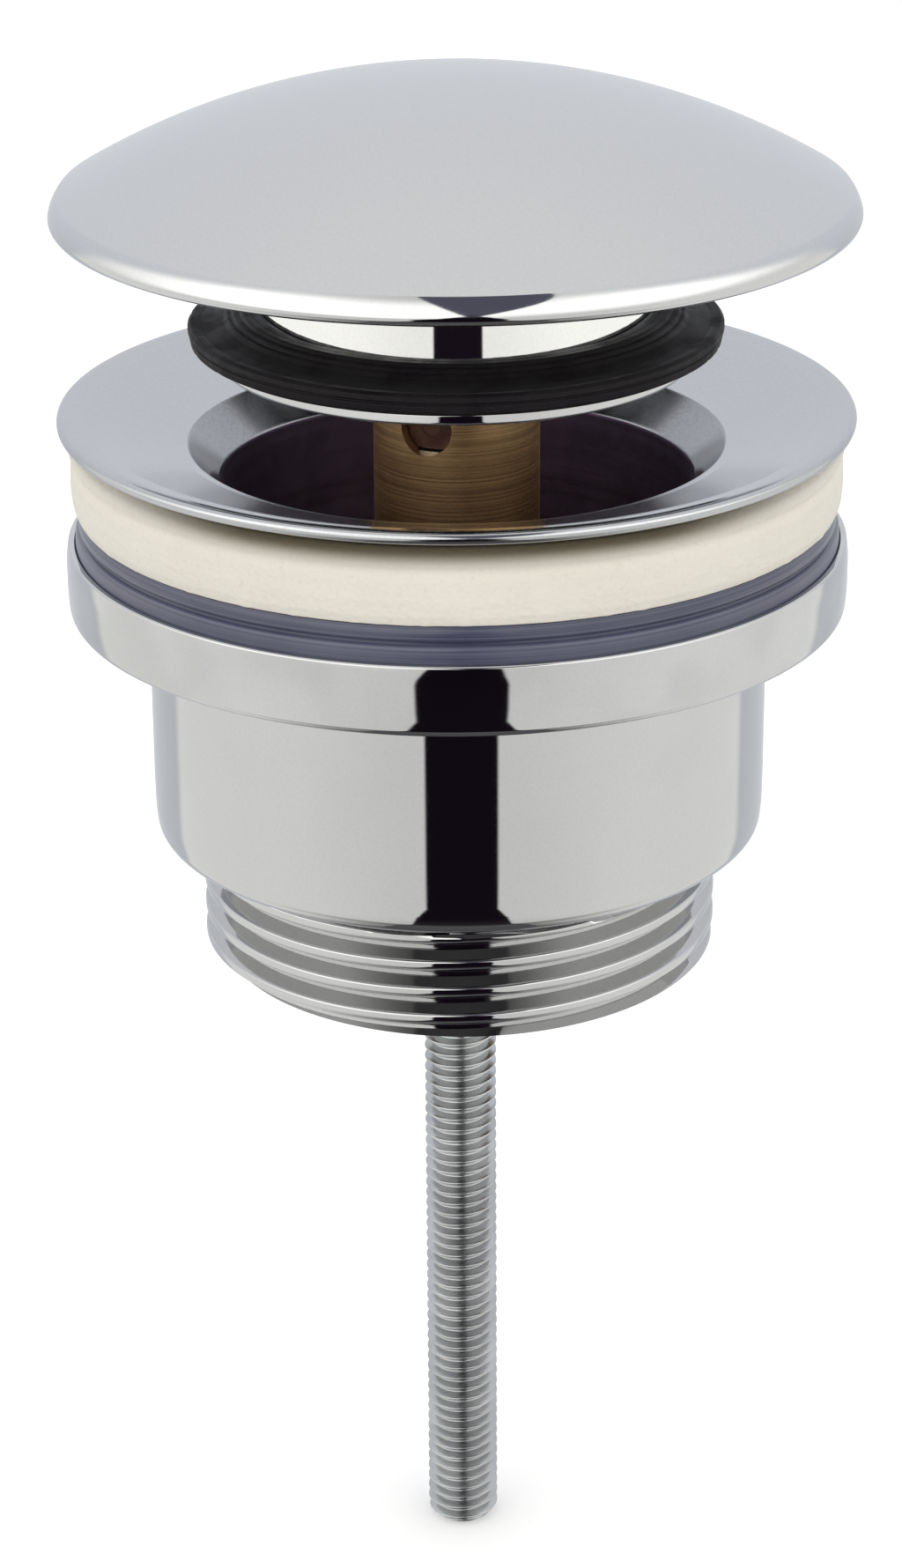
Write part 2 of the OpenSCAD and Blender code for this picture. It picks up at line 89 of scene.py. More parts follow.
# Light tent: stops by the angle above the horizon in degrees.
SIDE_REACH = ((-90.0, 130.0), (-8.0, 130.0), (14.0, 112.0), (36.0, 74.0), (58.0, 36.0), (90.0, 36.0))
SIDE_SPREAD = ((-90.0, 3.0), (-8.0, 3.0), (20.0, 14.0), (58.0, 24.0), (90.0, 24.0))
TENT_BACK = (
    (-90.0, (0.10, 0.10, 0.11)), (-70.0, (0.10, 0.10, 0.11)), (-52.0, (0.68, 0.705, 0.74)),
    (-14.0, (0.68, 0.705, 0.74)), (8.0, (0.80, 0.825, 0.87)), (30.0, (0.89, 0.905, 0.94)),
    (62.0, (0.97, 0.975, 0.985)), (88.0, (1.0, 0.995, 0.975)),
)
GAP_DARK = (
    (-90.0, (0.10, 0.10, 0.105)), (-44.0, (0.12, 0.118, 0.12)), (-35.0, (0.009, 0.006, 0.010)),
    (8.0, (0.007, 0.004, 0.008)), (20.0, (0.117, 0.117, 0.16)), (88.0, (0.117, 0.117, 0.16)),
)
SOFT_LIGHT = ((-90.0, 0.5), (0.0, 1.06), (90.0, 1.2))
WHITE_TINT = (("Red", 1.0), ("Green", 0.995), ("Blue", 0.96))
FLOOR_RINGS = (0.0, 0.05, 0.2, 1.0, 8.0)
FLOOR_GLOW = 0.12

CLOUDED = (0.4, 0.4, 0.39)
RIPPLE_HEIGHT = 0.000002
RING_HEIGHT = 0.00002
HEX_CORNER = 1.0 / math.cos(math.pi / 6.0)
HEX_SIDE = 2.0 * math.tan(math.pi / 6.0)


def length(name, description, default):
    """A length property in metres."""
    return bpy.props.FloatProperty(
        name=name, description=description, default=default, subtype="DISTANCE", unit="LENGTH", precision=5
    )


def share(name, description, default):
    """A plain number property."""
    return bpy.props.FloatProperty(name=name, description=description, default=default, precision=4)


def angle(name, description, degrees):
    """An angle property, given in degrees."""
    return bpy.props.FloatProperty(
        name=name, description=description, default=math.radians(degrees), subtype="ANGLE", unit="ROTATION"
    )


def colour(name, description, default):
    """A colour property."""
    return bpy.props.FloatVectorProperty(
        name=name, description=description, default=default, subtype="COLOR", size=3, min=0.0, max=1.0
    )


def settings(kind, name, description):
    """A pointer to a group of settings."""
    return bpy.props.PointerProperty(type=kind, name=name, description=description)


class PlugSizes(bpy.types.PropertyGroup):
    """Cap, neck and seal of the plug, in its open position."""

    cap_radius: length("Cap radius", "Outside radius of the cap", 0.0315)
    cap_edge: length("Cap edge", "Rounding of the cap's lowest edge", 0.0006)
    cap_under: length("Cap underside", "Height of the cap's underside", 0.0229)
    cap_top: length("Cap top", "Height of the top of the dome", 0.0336)
    cap_lip: length("Cap lip", "Width of the lip round the hollow underside", 0.003)
    shoulder: length("Shoulder", "Rounding of the shoulder between the lowest edge and the crease", 0.0034)
    crease: angle("Crease", "Slope of the shoulder where it meets the dome at a crease", 40.0)
    cap_wall: length("Cap wall", "Metal over the hollow of the cap", 0.0024)
    stem_bore: length("Stem bore", "Radius of the bore for the plunger's stem", 0.003)
    stem_top: length("Stem bore top", "Height of the end of the stem's bore", 0.0293)
    neck_radius: length("Neck radius", "Outside radius of the neck", 0.0162)
    neck_wall: length("Neck wall", "Wall of the neck", 0.003)
    web_under: length("Web underside", "Height of the underside of the plug's web", 0.0207)
    disc_radius: length("Disc radius", "Radius of the bottom disc", 0.0187)
    disc_low: length("Disc underside", "Height of the underside of the bottom disc", 0.0116)
    disc_top: length("Disc top", "Height of the top of the bottom disc", 0.0125)
    groove_radius: length("Groove radius", "Radius of the groove that holds the seal", 0.0152)
    groove_top: length("Groove top", "Height of the top of the seal's groove", 0.015)
    lip_radius: length("Lip radius", "Outside radius of the seal's lip", 0.021)
    seal_top: length("Seal top", "Height of the top of the seal", 0.0159)


class FlangeSizes(bpy.types.PropertyGroup):
    """Dished flange and its tube."""

    rim_radius: length("Rim radius", "Outside radius of the flange", 0.0315)
    rim_top: length("Rim top", "Height of the rim's top", 0.0076)
    rim_thick: length("Rim thickness", "Thickness of the rim", 0.001)
    seat_radius: length("Seat radius", "Outer radius of the conical seat", 0.02125)
    seat_top: length("Seat top", "Height of the seat's outer edge", 0.0049)
    throat_radius: length("Throat radius", "Radius of the throat", 0.0187)
    throat_top: length("Throat top", "Height of the throat's edge", 0.002)
    tube_radius: length("Tube radius", "Outside radius of the tube", 0.0202)
    under: length("Underside", "Height of the flange's underside beside the tube", 0.0026)
    tube_foot: length("Tube foot", "Height of the tube's foot", -0.02445)
    lip_radius: length("Lip radius", "Inside radius of the lip that carries the bridge", 0.0172)
    lip_top: length("Lip top", "Height of the lip's top", -0.02315)


class WasherSizes(bpy.types.PropertyGroup):
    """Foam washer over the basin and gasket under it."""

    foam_radius: length("Foam radius", "Outside radius of the foam washer", 0.03075)
    foam_bore: length("Foam bore", "Inside radius of the foam washer", 0.0205)
    foam_crease: length("Crease", "Depth of the crease round the foam's edge", 0.00022)
    gasket_radius: length("Gasket radius", "Outside radius of the gasket", 0.0304)
    gasket_bore: length("Gasket bore", "Inside radius of the gasket", 0.02335)
    gasket_low: length("Gasket underside", "Height of the gasket's underside", -0.005)
    gasket_groove: length("Gasket groove", "Depth of the groove round the gasket", 0.0005)


class TailSizes(bpy.types.PropertyGroup):
    """Collar, pot and threaded tail."""

    collar_radius: length("Collar radius", "Outside radius of the collar", 0.03115)
    cup_radius: length("Cup radius", "Inside radius of the collar's cup", 0.03045)
    collar_top: length("Collar top", "Height of the collar's top", -0.00285)
    cup_floor: length("Cup floor", "Height of the cup's floor", -0.005)
    shoulder: length("Shoulder", "Height of the collar's underside", -0.00845)
    pot_radius: length("Pot radius", "Outside radius of the pot", 0.0248)
    pot_bore: length("Pot bore", "Inside radius of the pot", 0.0233)
    pot_foot: length("Pot foot", "Height of the pot's underside", -0.02745)
    pot_floor: length("Pot floor", "Height of the pot's floor", -0.02545)
    foot_round: length("Foot rounding", "Rounding at the foot of the pot", 0.0012)
    thread_radius: length("Thread radius", "Crest radius of the pipe thread", 0.020955)
    thread_pitch: length("Thread pitch", "Pitch of the pipe thread", 0.002309)
    thread_depth: length("Thread depth", "Depth of the pipe thread", 0.00125)
    thread_top: length("Thread top", "Height where the thread runs out under the pot", -0.02855)
    tail_foot: length("Tail foot", "Height of the tail's end", -0.03795)
    tail_bore: length("Tail bore", "Inside radius of the tail", 0.018905)
    ledge_radius: length("Ledge radius", "Radius of the way through the pot's floor", 0.0176)
    ledge_low: length("Ledge underside", "Height of the ledge over the bridge", -0.03395)


class ClampSizes(bpy.types.PropertyGroup):
    """Bolt and the two bridges that it draws together."""

    bolt_radius: length("Bolt radius", "Crest radius of the bolt's thread", 0.003)
    bolt_pitch: length("Bolt pitch", "Pitch of the bolt's thread", 0.001)
    bolt_depth: length("Bolt depth", "Depth of the bolt's thread", 0.00061)
    bolt_end: length("Bolt end", "Height of the bolt's end", -0.09415)
    head_radius: length("Head radius", "Radius of the bolt's head", 0.005)
    head_low: length("Head underside", "Height of the underside of the head", -0.02615)
    head_top: length("Head top", "Height of the top of the head", -0.02015)
    key_flat: length("Key width", "Width across the flats of the key's socket", 0.00499)
    arm_width: length("Arm width", "Width of a bridge arm", 0.0034)
    arm_height: length("Arm height", "Height of a bridge arm", 0.0036)
    ring_wall: length("Ring wall", "Thickness of a bridge's ring", 0.0016)
    upper_ring: length("Upper ring", "Outside radius of the upper bridge", 0.01865)
    upper_low: length("Upper underside", "Height of the upper bridge's underside", -0.02315)
    hub_radius: length("Hub radius", "Outside radius of the upper hub", 0.0082)
    hub_bore: length("Hub bore", "Inside radius of the upper hub", 0.0059)
    hub_low: length("Hub underside", "Height of the upper hub's underside", -0.02895)
    hub_seat: length("Hub seat", "Height of the seat for the bolt's washer", -0.02695)
    hub_top: length("Hub top", "Height of the upper hub's top", -0.01445)
    hub_hole: length("Hub hole", "Radius of the bolt's hole in the upper hub", 0.0033)
    lower_ring: length("Lower ring", "Outside radius of the lower bridge", 0.018855)
    lower_low: length("Lower underside", "Height of the lower bridge's underside", -0.03755)
    nut_radius: length("Tapped hub radius", "Outside radius of the tapped hub", 0.0062)
    nut_hole: length("Tapped hole", "Radius of the hole in the tapped hub", 0.0031)
    nut_low: length("Tapped hub underside", "Height of the tapped hub's underside", -0.03795)
    nut_top: length("Tapped hub top", "Height of the tapped hub's top", -0.02995)


class CartridgeSizes(bpy.types.PropertyGroup):
    """Return spring of the click cartridge."""

    spring_low: length("Spring foot", "Height of the spring's foot", -0.01795)
    spring_top: length("Spring top", "Height of the spring's top", 0.0003)
    spring_radius: length("Spring radius", "Middle radius of the coil", 0.00385)
    spring_wire: length("Spring wire", "Diameter of the wire", 0.0009)
    spring_turns: bpy.props.IntProperty(
        name="Spring turns", description="Turns of the coil", default=9, min=4
    )
    travel: length("Travel", "Travel of the plug", 0.0086)


class Finishes(bpy.types.PropertyGroup):
    """Colours of the pieces."""

    chrome: colour("Chrome", "Polished chrome plating", (0.605, 0.61, 0.617))
    chrome_haze: colour("Chrome haze", "Chrome where the plating is a little duller", (0.585, 0.591, 0.60))
    bright: colour("Bright chrome", "Brighter plating of the plug's neck", (0.93, 0.93, 0.925))
    bright_haze: colour("Bright haze", "Neck where the plating is a little duller", (0.89, 0.89, 0.885))
    thread: colour("Thread plating", "Thin plating on the flanks of the pipe thread", (0.50, 0.50, 0.505))
    thread_haze: colour("Thread haze", "Flanks where the plating is thinner still", (0.47, 0.47, 0.475))
    satin: colour("Satin chrome", "Duller plating of the flange", (0.52, 0.53, 0.545))
    satin_haze: colour("Satin haze", "Flange where the plating is duller still", (0.495, 0.505, 0.525))
    # Painted reflection: the seat's colours are darker than the flange's to stand in for the dark reflection
    # of the seal and cap.
    seat: colour("Seat", "Rubbed plating of the conical seat", (0.36, 0.365, 0.38))
    seat_haze: colour("Seat haze", "Seat where it is rubbed most", (0.31, 0.315, 0.33))
    # Painted shade: the tube's two colours are kept near black so that the inside of the throat renders
    # dark; the paler rings are a turned pattern.
    tube: colour("Tube", "Bare metal inside the flange's tube", (0.119, 0.0899, 0.15))
    tube_worn: colour("Worn tube", "Paler rings inside the tube", (0.204, 0.1595, 0.24))
    black_rubber: colour("Black rubber", "Rubber of the plug's seal", (0.0065, 0.0045, 0.0065))
    rubber_bloom: colour("Rubber bloom", "Paler bloom on the seal", (0.020, 0.018, 0.020))
    grey_rubber: colour("Grey rubber", "Rubber of the gasket", (0.102, 0.105, 0.158))
    grey_deep: colour("Grey rubber, deep", "Darker streaks in the gasket", (0.038, 0.042, 0.085))
    foam: colour("Foam", "Cream foam of the washer", (0.83, 0.79, 0.70))
    foam_pores: colour("Foam pores", "Darker pores in the foam", (0.74, 0.70, 0.605))
    # Painted shade: this colour darkens the foam's top where the rim's shade falls on it.
    foam_painted_shade: colour("Soiled foam", "Foam that is pressed and soiled under the rim", (0.15, 0.125, 0.08))
    brass: colour("Brass", "Turned brass", (0.74, 0.52, 0.25))
    brass_tarnish: colour("Tarnish", "Brown tarnish on the brass", (0.46, 0.28, 0.13))
    barrel: colour("Barrel brass", "Brighter brass of the cartridge's barrel", (0.93, 0.63, 0.32))
    barrel_tarnish: colour("Barrel tarnish", "Brown tarnish on the barrel", (0.64, 0.39, 0.19))
    # Painted shade: the pin's steel is darkened to stand for the shade inside the barrel's side hole.
    browned: colour("Browned steel", "Steel of the follower's pin", (0.20, 0.13, 0.10))
    steel: colour("Steel", "Bright steel of the small parts", (0.52, 0.53, 0.55))
    zinc: colour("Zinc", "Zinc plating of the bolt", (0.66, 0.671, 0.682))
    zinc_dull: colour("Dull zinc", "Duller patches of the zinc", (0.462, 0.473, 0.484))
    plastic: colour("Plastic", "Dark moulded plastic", (0.09, 0.034, 0.022))
    plastic_rub: colour("Plastic rub", "Rubbed edges of the plastic", (0.15, 0.075, 0.055))


class StageSettings(bpy.types.PropertyGroup):
    """Camera, floor and light tent."""

    camera_distance: length("Camera distance", "Distance of the camera from its aim", 0.3401)
    camera_aim: length("Camera aim", "Height of the point that the camera looks at", -0.02495)
    camera_lift: angle("Camera lift", "Angle of the camera above the horizon", 22.6)
    camera_roll: angle("Camera roll", "Roll of the camera", 0.35)
    lens: bpy.props.FloatProperty(
        name="Lens", description="Focal length in millimetres", default=95.3, subtype="DISTANCE_CAMERA"
    )
    shift: share("Shift", "Sideways shift of the frame", -0.005)
    gap: angle("Tent gap", "Half the width of the gap that the tent has at the camera", 13.4)
    slit: share("Slit", "Width of the gap at its narrowest, as a share of its width lower down", 0.157)
    gap_centre: angle("Gap centre", "Direction of the middle of the gap, to the right of the camera", 1.0)
    floor: colour("Floor", "Pale floor", (0.93, 0.93, 0.93))
    floor_bounce: colour("Floor bounce", "Light that the floor throws back up", (0.60, 0.60, 0.60))


class BasinWaste(bpy.types.PropertyGroup):
    """All settings of the basin waste."""

    plug: settings(PlugSizes, "Plug", "Sizes of the plug")
    flange: settings(FlangeSizes, "Flange", "Sizes of the flange")
    washers: settings(WasherSizes, "Washers", "Sizes of the washers")
    tail: settings(TailSizes, "Tail", "Sizes of the lower body")
    clamp: settings(ClampSizes, "Clamp", "Sizes of bolt and bridges")
    cartridge: settings(CartridgeSizes, "Cartridge", "Sizes of the spring")
    finishes: settings(Finishes, "Finishes", "Colours of the pieces")
    stage: settings(StageSettings, "Stage", "Camera and light")


def corners_from(radius, height, steps):
    """Corners in metres from a table of (radius, height, rounding) steps in millimetres."""
    return [(radius + MM * r, height + MM * z, MM * soft) for r, z, soft in steps]


def softened(corners, closed=True, guard=0.00004, fine=math.radians(8.0)):
    """Outline points from (radius, height, fillet) corners: each fillet is an arc between guard points."""
    points = []
    count = len(corners)
    for i, (r, z, fillet) in enumerate(corners):
        here = Vector((r, z))
        if fillet <= 0.0 or (not closed and i in (0, count - 1)):
            points.append(here)
            continue
        before = Vector(corners[i - 1][:2])
        after = Vector(corners[(i + 1) % count][:2])
        back, on = before - here, after - here
        room = 0.48 * min(back.length, on.length)
        back.normalize()
        on.normalize()
        half = 0.5 * back.angle(on)
        if half > 0.5 * math.pi - 0.01:
            points.append(here)
            continue
        cut = min(fillet / math.tan(half), room)
        radius = cut * math.tan(half)
        centre = here + (back + on).normalized() * (radius / math.sin(half))
        first, last = here + back * cut, here + on * cut
        start = math.atan2(first.y - centre.y, first.x - centre.x)
        sweep = math.atan2(last.y - centre.y, last.x - centre.x) - start
        sweep = (sweep + math.pi) % FULL_TURN - math.pi
        steps = max(2, math.ceil(abs(sweep) / fine))
        if room - cut > 2.0 * guard:
            points.append(first + back * guard)
        for k in range(steps + 1):
            a = start + sweep * k / steps
            points.append(centre + radius * Vector((math.cos(a), math.sin(a))))
        if room - cut > 2.0 * guard:
            points.append(last + on * guard)
    return [(p.x, p.y) for p in points]


def arc(centre_r, centre_z, radius, start, end, steps):
    """Points of an arc in the turning plane, both ends included."""
    out = []
    for k in range(steps + 1):
        a = start + (end - start) * k / steps
        out.append((centre_r + radius * math.cos(a), centre_z + radius * math.sin(a)))
    return out


def turned(bm, outline, sides=FINE_SIDES, closed=True, shape=None):
    """Adds a body of revolution from (radius, height) points, each moved by shape at its angle."""
    rings = []
    for r, z in outline:
        if r < 1e-7:
            rings.append([bm.verts.new((0.0, 0.0, z))])
            continue
        ring = []
        for k in range(sides):
            a = FULL_TURN * k / sides
            rr, zz = shape(r, z, a) if shape else (r, z)
            ring.append(bm.verts.new((rr * math.cos(a), rr * math.sin(a), zz)))
        rings.append(ring)
    pairs = list(zip(rings, rings[1:]))
    if closed:
        pairs.append((rings[-1], rings[0]))
    for low, high in pairs:
        if len(low) == 1 and len(high) == 1:
            continue
        for k in range(sides):
            m = (k + 1) % sides
            if len(low) == 1:
                bm.faces.new((low[0], high[k], high[m]))
            elif len(high) == 1:
                bm.faces.new((low[k], high[0], low[m]))
            else:
                bm.faces.new((low[k], high[k], high[m], low[m]))


def threaded(bm, profile, limit, pitch, low, high, columns):
    """Adds the outside of a right-hand thread between two heights, and returns its lowest and highest ring.

    profile gives the radius at a share of a turn, from points (share, radius); limit caps it by height.
    """
    rows = len(profile)

    def radius_at(turn):
        turn %= 1.0
        for (t0, r0), (t1, r1) in zip(profile, profile[1:] + [(profile[0][0] + 1.0, profile[0][1])]):
            if t0 <= turn <= t1:
                return r0 + (r1 - r0) * (turn - t0) / (t1 - t0)
        return profile[0][1]

    turns = math.ceil((high - low) / pitch) + 2
    grid = []
    for i in range(columns):
        column = []
        for j in range(turns * rows):
            turn = j // rows - 1 + profile[j % rows][0] + i / columns
            z = min(max(low + turn * pitch, low), high)
            a = FULL_TURN * i / columns
            r = min(radius_at((z - low) / pitch - i / columns), limit(z))
            column.append(bm.verts.new((r * math.cos(a), r * math.sin(a), z)))
        grid.append(column)
    for i in range(columns):
        last = i == columns - 1
        other = grid[0] if last else grid[i + 1]
        lift = rows if last else 0
        for j in range(turns * rows - 1 - lift):
            quad = (grid[i][j], other[j + lift], other[j + lift + 1], grid[i][j + 1])
            heights = [v.co.z for v in quad]
            if max(heights) - min(heights) > 1e-9:
                bm.faces.new(quad)
    bmesh.ops.remove_doubles(bm, verts=[v for column in grid for v in column if v.is_valid], dist=1e-7)
    loose = [v for v in bm.verts if not v.link_faces]
    bmesh.ops.delete(bm, geom=loose, context="VERTS")
    rings = []
    for z in (low, high):
        ring = [v for v in bm.verts if abs(v.co.z - z) < 1e-8 and any(e.is_boundary for e in v.link_edges)]
        rings.append(sorted(ring, key=lambda v: math.atan2(v.co.y, v.co.x) % FULL_TURN))
    return rings


def inner_ring(bm, ring, radii):
    """Adds a ring inside a rim, level with it, and the faces between the two."""
    made = []
    for v, r in zip(ring, radii):
        a = math.atan2(v.co.y, v.co.x)
        made.append(bm.verts.new((r * math.cos(a), r * math.sin(a), v.co.z)))
    for k in range(len(ring)):
        m = (k + 1) % len(ring)
        bm.faces.new((ring[k], ring[m], made[m], made[k]))
    return made


def close_to_bore(bm, low_ring, high_ring, bore):
    """Joins the two rims of a threaded skin to a plain bore, so that the sleeve is closed."""
    inner = [inner_ring(bm, ring, [bore] * len(ring)) for ring in (low_ring, high_ring)]
    bmesh.ops.bridge_loops(bm, edges=[
        bm.edges.get((loop[k], loop[(k + 1) % len(loop)])) for loop in inner for k in range(len(loop))
    ])


def close_with_cap(bm, ring, inward):
    """Closes a rim with a smaller ring and a flat face, like the end of a turned bar."""
    radii = [math.hypot(v.co.x, v.co.y) - inward for v in ring]
    bm.faces.new(inner_ring(bm, ring, radii))


def waves(a, pace, level):
    """Noise round the axis at an angle, finer with a greater pace."""
    return noise.noise(Vector((pace * math.cos(a), pace * math.sin(a), level)))


def bar(bm, size, place, soft):
    """Adds a block with rounded edges."""
    made = bmesh.ops.create_cube(bm, size=1.0, matrix=place @ Matrix.Diagonal((*size, 1.0)))
    edges = list({e for v in made["verts"] for e in v.link_edges})
    bmesh.ops.bevel(bm, geom=edges, offset=soft, segments=3, profile=0.5, affect="EDGES", clamp_overlap=True)


def mesh_of(name, bm):
    """A mesh from a finished BMesh, which is freed."""
    mesh = bpy.data.meshes.new(name)
    bm.to_mesh(mesh)
    bm.free()
    return mesh


def show(name, data):
    """A new object in the scene."""
    made = bpy.data.objects.new(name, data)
    bpy.context.scene.collection.objects.link(made)
    return made


def piece(name, bm, finishes, body, node, smooth=38.0, pick=None):
    """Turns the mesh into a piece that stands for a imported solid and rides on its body.

    pick gives the number of a face's finish; without it every face has the first.
    """
    bmesh.ops.recalc_face_normals(bm, faces=bm.faces[:])
    mesh = mesh_of(name, bm)
    mesh.shade_smooth()
    mesh.set_sharp_from_angle(angle=math.radians(smooth))
    for finish in finishes:
        mesh.materials.append(finish)
    if pick:
        for face in mesh.polygons:
            face.material_index = pick(face)
    made = show(name, mesh)
    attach(made, body)
    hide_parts(node)
    return made


def dress(node, finish):
    """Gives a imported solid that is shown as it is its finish."""
    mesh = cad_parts[node].data
    mesh.materials.clear()
    mesh.materials.append(finish)


def put(tree, kind, values=None, **traits):
    """Adds a node, with its traits and the values of its inputs."""
    made = tree.nodes.new(kind)
    for key, value in traits.items():
        setattr(made, key, value)
    for key, value in (values or {}).items():
        made.inputs[key].default_value = value
    return made


def join(tree, source, output, target, entry):
    """Links an output to an input, by name or number."""
    tree.links.new(source.outputs[output], target.inputs[entry])


def calc(tree, operation, *operands, clamp=False):
    """A Math node on one to three values, each a number or a (node, output) pair."""
    made = put(tree, "ShaderNodeMath", operation=operation, use_clamp=clamp)
    for k, value in enumerate(operands):
        if isinstance(value, tuple):
            join(tree, *value, made, k)
        else:
            made.inputs[k].default_value = value
    return made, 0


def product(tree, *factors):
    """The product of two or more values."""
    made = factors[0]
    for factor in factors[1:]:
        made = calc(tree, "MULTIPLY", made, factor)
    return made


def weighted(tree, a, share_a, b, share_b):
    """The sum of two values, each times its share."""
    return calc(tree, "MULTIPLY_ADD", a, share_a, product(tree, b, share_b))


def step(tree, value, start, end, low=0.0, high=1.0):
    """A smooth step of a (node, output) pair from low to high, between start and end."""
    made = put(
        tree, "ShaderNodeMapRange",
        {"From Min": start, "From Max": end, "To Min": low, "To Max": high},
        interpolation_type="SMOOTHSTEP", clamp=True,
    )
    join(tree, *value, made, "Value")
    return made, "Result"


def blend(tree, factor, a, b):
    """A mix of two colours by a (node, output) pair, each colour three numbers or such a pair."""
    made = put(tree, "ShaderNodeMix", data_type="RGBA")
    join(tree, *factor, made, "Factor")
    for entry, value in ((6, a), (7, b)):
        if isinstance(value[0], bpy.types.Node):
            join(tree, *value, made, entry)
        else:
            made.inputs[entry].default_value = (*value, 1.0)
    return made, 2


def ramp(tree, value, stops):
    """A colour ramp over a (node, output) pair, from (position, colour) stops in rising order."""
    made = put(tree, "ShaderNodeValToRGB")
    marks = made.color_ramp.elements
    while len(marks) < len(stops):
        marks.new(1.0)
    for mark, (position, tint) in zip(marks, stops):
        mark.position = position
        mark.color = (*tint, 1.0)
    join(tree, *value, made, "Fac")
    return made, "Color"


def object_parts(tree):
    """A node with the X, Y and Z of the place on the object."""
    parts = put(tree, "ShaderNodeSeparateXYZ")
    join(tree, put(tree, "ShaderNodeTexCoord"), "Object", parts, "Vector")
    return parts


def new_group(name, inputs, outputs):
    """A shader node group with named value sockets."""
    tree = bpy.data.node_groups.new(name, "ShaderNodeTree")
    for title, default in inputs:
        socket = tree.interface.new_socket(name=title, in_out="INPUT", socket_type="NodeSocketFloat")
        socket.default_value = default
    for title in outputs:
        tree.interface.new_socket(name=title, in_out="OUTPUT", socket_type="NodeSocketFloat")
    return tree, tree.nodes.new("NodeGroupInput"), tree.nodes.new("NodeGroupOutput")


def plating_group():
    """Slow ripple and faint haze of plated metal."""
    if "Plating" in bpy.data.node_groups:
        return bpy.data.node_groups["Plating"]
    scales = [("Ripple Scale", 160.0), ("Haze Scale", 420.0)]
    tree, entry, leave = new_group("Plating", scales, ["Ripple", "Haze"])
    place = put(tree, "ShaderNodeTexCoord")
    ripple = put(tree, "ShaderNodeTexNoise", {"Detail": 1.0, "Roughness": 0.4})
    haze = put(tree, "ShaderNodeTexNoise", {"Detail": 4.0, "Roughness": 0.6})
    for made, title in ((ripple, "Ripple Scale"), (haze, "Haze Scale")):
        join(tree, place, "Object", made, "Vector")
        join(tree, entry, title, made, "Scale")
    join(tree, ripple, "Fac", leave, "Ripple")
    join(tree, *step(tree, (haze, "Fac"), 0.35, 0.70), leave, "Haze")
    return tree


def turning_group():
    """Fine rings left by the lathe, the same all round the axis."""
    if "Turning" in bpy.data.node_groups:
        return bpy.data.node_groups["Turning"]
    tree, entry, leave = new_group("Turning", [("Fineness", 6000.0)], ["Rings", "Coarse Rings"])
    parts = object_parts(tree)
    square = weighted(tree, (parts, "X"), (parts, "X"), (parts, "Y"), (parts, "Y"))
    flat = put(tree, "ShaderNodeCombineXYZ")
    join(tree, *calc(tree, "SQRT", square), flat, "X")
    join(tree, parts, "Z", flat, "Y")
    for output, factor in (("Rings", 1.0), ("Coarse Rings", 0.13)):
        rings = put(tree, "ShaderNodeTexNoise", {"Detail": 2.0, "Roughness": 0.7}, noise_dimensions="2D")
        join(tree, flat, "Vector", rings, "Vector")
        join(tree, *product(tree, (entry, "Fineness"), factor), rings, "Scale")
        join(tree, rings, "Fac", leave, output)
    return tree


def grain_group():
    """Cells, specks and slow mottling of foam, rubber and moulded plastic."""
    if "Grain" in bpy.data.node_groups:
        return bpy.data.node_groups["Grain"]
    scales = [("Cell Scale", 3000.0), ("Mottle Scale", 250.0)]
    tree, entry, leave = new_group("Grain", scales, ["Cells", "Specks", "Mottle"])
    place = put(tree, "ShaderNodeTexCoord")
    cells = put(tree, "ShaderNodeTexVoronoi", {"Randomness": 1.0}, feature="F1")
    specks = put(tree, "ShaderNodeTexNoise", {"Detail": 3.0, "Roughness": 0.65})
    mottle = put(tree, "ShaderNodeTexNoise", {"Detail": 3.0, "Roughness": 0.55})
    for made, title in ((cells, "Cell Scale"), (specks, "Cell Scale"), (mottle, "Mottle Scale")):
        join(tree, place, "Object", made, "Vector")
        join(tree, entry, title, made, "Scale")
    join(tree, cells, "Distance", leave, "Cells")
    join(tree, *step(tree, (specks, "Fac"), 0.52, 0.72), leave, "Specks")
    join(tree, *step(tree, (mottle, "Fac"), 0.3, 0.7), leave, "Mottle")
    return tree


def empty_tree(owner):
    """The node tree of a new material or world, emptied."""
    owner.use_nodes = True
    owner.node_tree.nodes.clear()
    return owner.node_tree


def start_finish(name, metallic, roughness):
    """A new material with a Principled shader whose even values sit on its own sockets."""
    made = bpy.data.materials.new(name)
    tree = empty_tree(made)
    shader = put(tree, "ShaderNodeBsdfPrincipled", {"Metallic": metallic, "Roughness": roughness})
    join(tree, shader, "BSDF", put(tree, "ShaderNodeOutputMaterial"), "Surface")
    return made, tree, shader


def place_group(tree, group, values):
    """A group node with its own values."""
    return put(tree, "ShaderNodeGroup", values, node_tree=group)


def raise_surface(tree, shader, height, strength, distance):
    """Feeds a height through a Bump node into the shader's normal."""
    bump = put(tree, "ShaderNodeBump", {"Strength": strength, "Distance": distance})
    join(tree, *height, bump, "Height")
    join(tree, bump, "Normal", shader, "Normal")


def chrome_finish(name, colours, key, smooth, dull, cloud=None):
    """Polished chrome in a colour and its haze, with a slow ripple.

    cloud gives the least and greatest share of the clouding left by handling.
    """
    made, tree, shader = start_finish(name, 1.0, smooth)
    plating = place_group(tree, plating_group(), {"Ripple Scale": 170.0, "Haze Scale": 4200.0})
    shade = blend(tree, (plating, "Haze"), getattr(colours, key), getattr(colours, key + "_haze"))
    if cloud:
        shade = blend(tree, step(tree, (plating, "Ripple"), 0.42, 0.68, *cloud), shade, CLOUDED)
    join(tree, *shade, shader, "Base Color")
    join(tree, *step(tree, (plating, "Haze"), 0.0, 1.0, smooth, dull), shader, "Roughness")
    raise_surface(tree, shader, (plating, "Ripple"), 0.3, RIPPLE_HEIGHT)
    return made


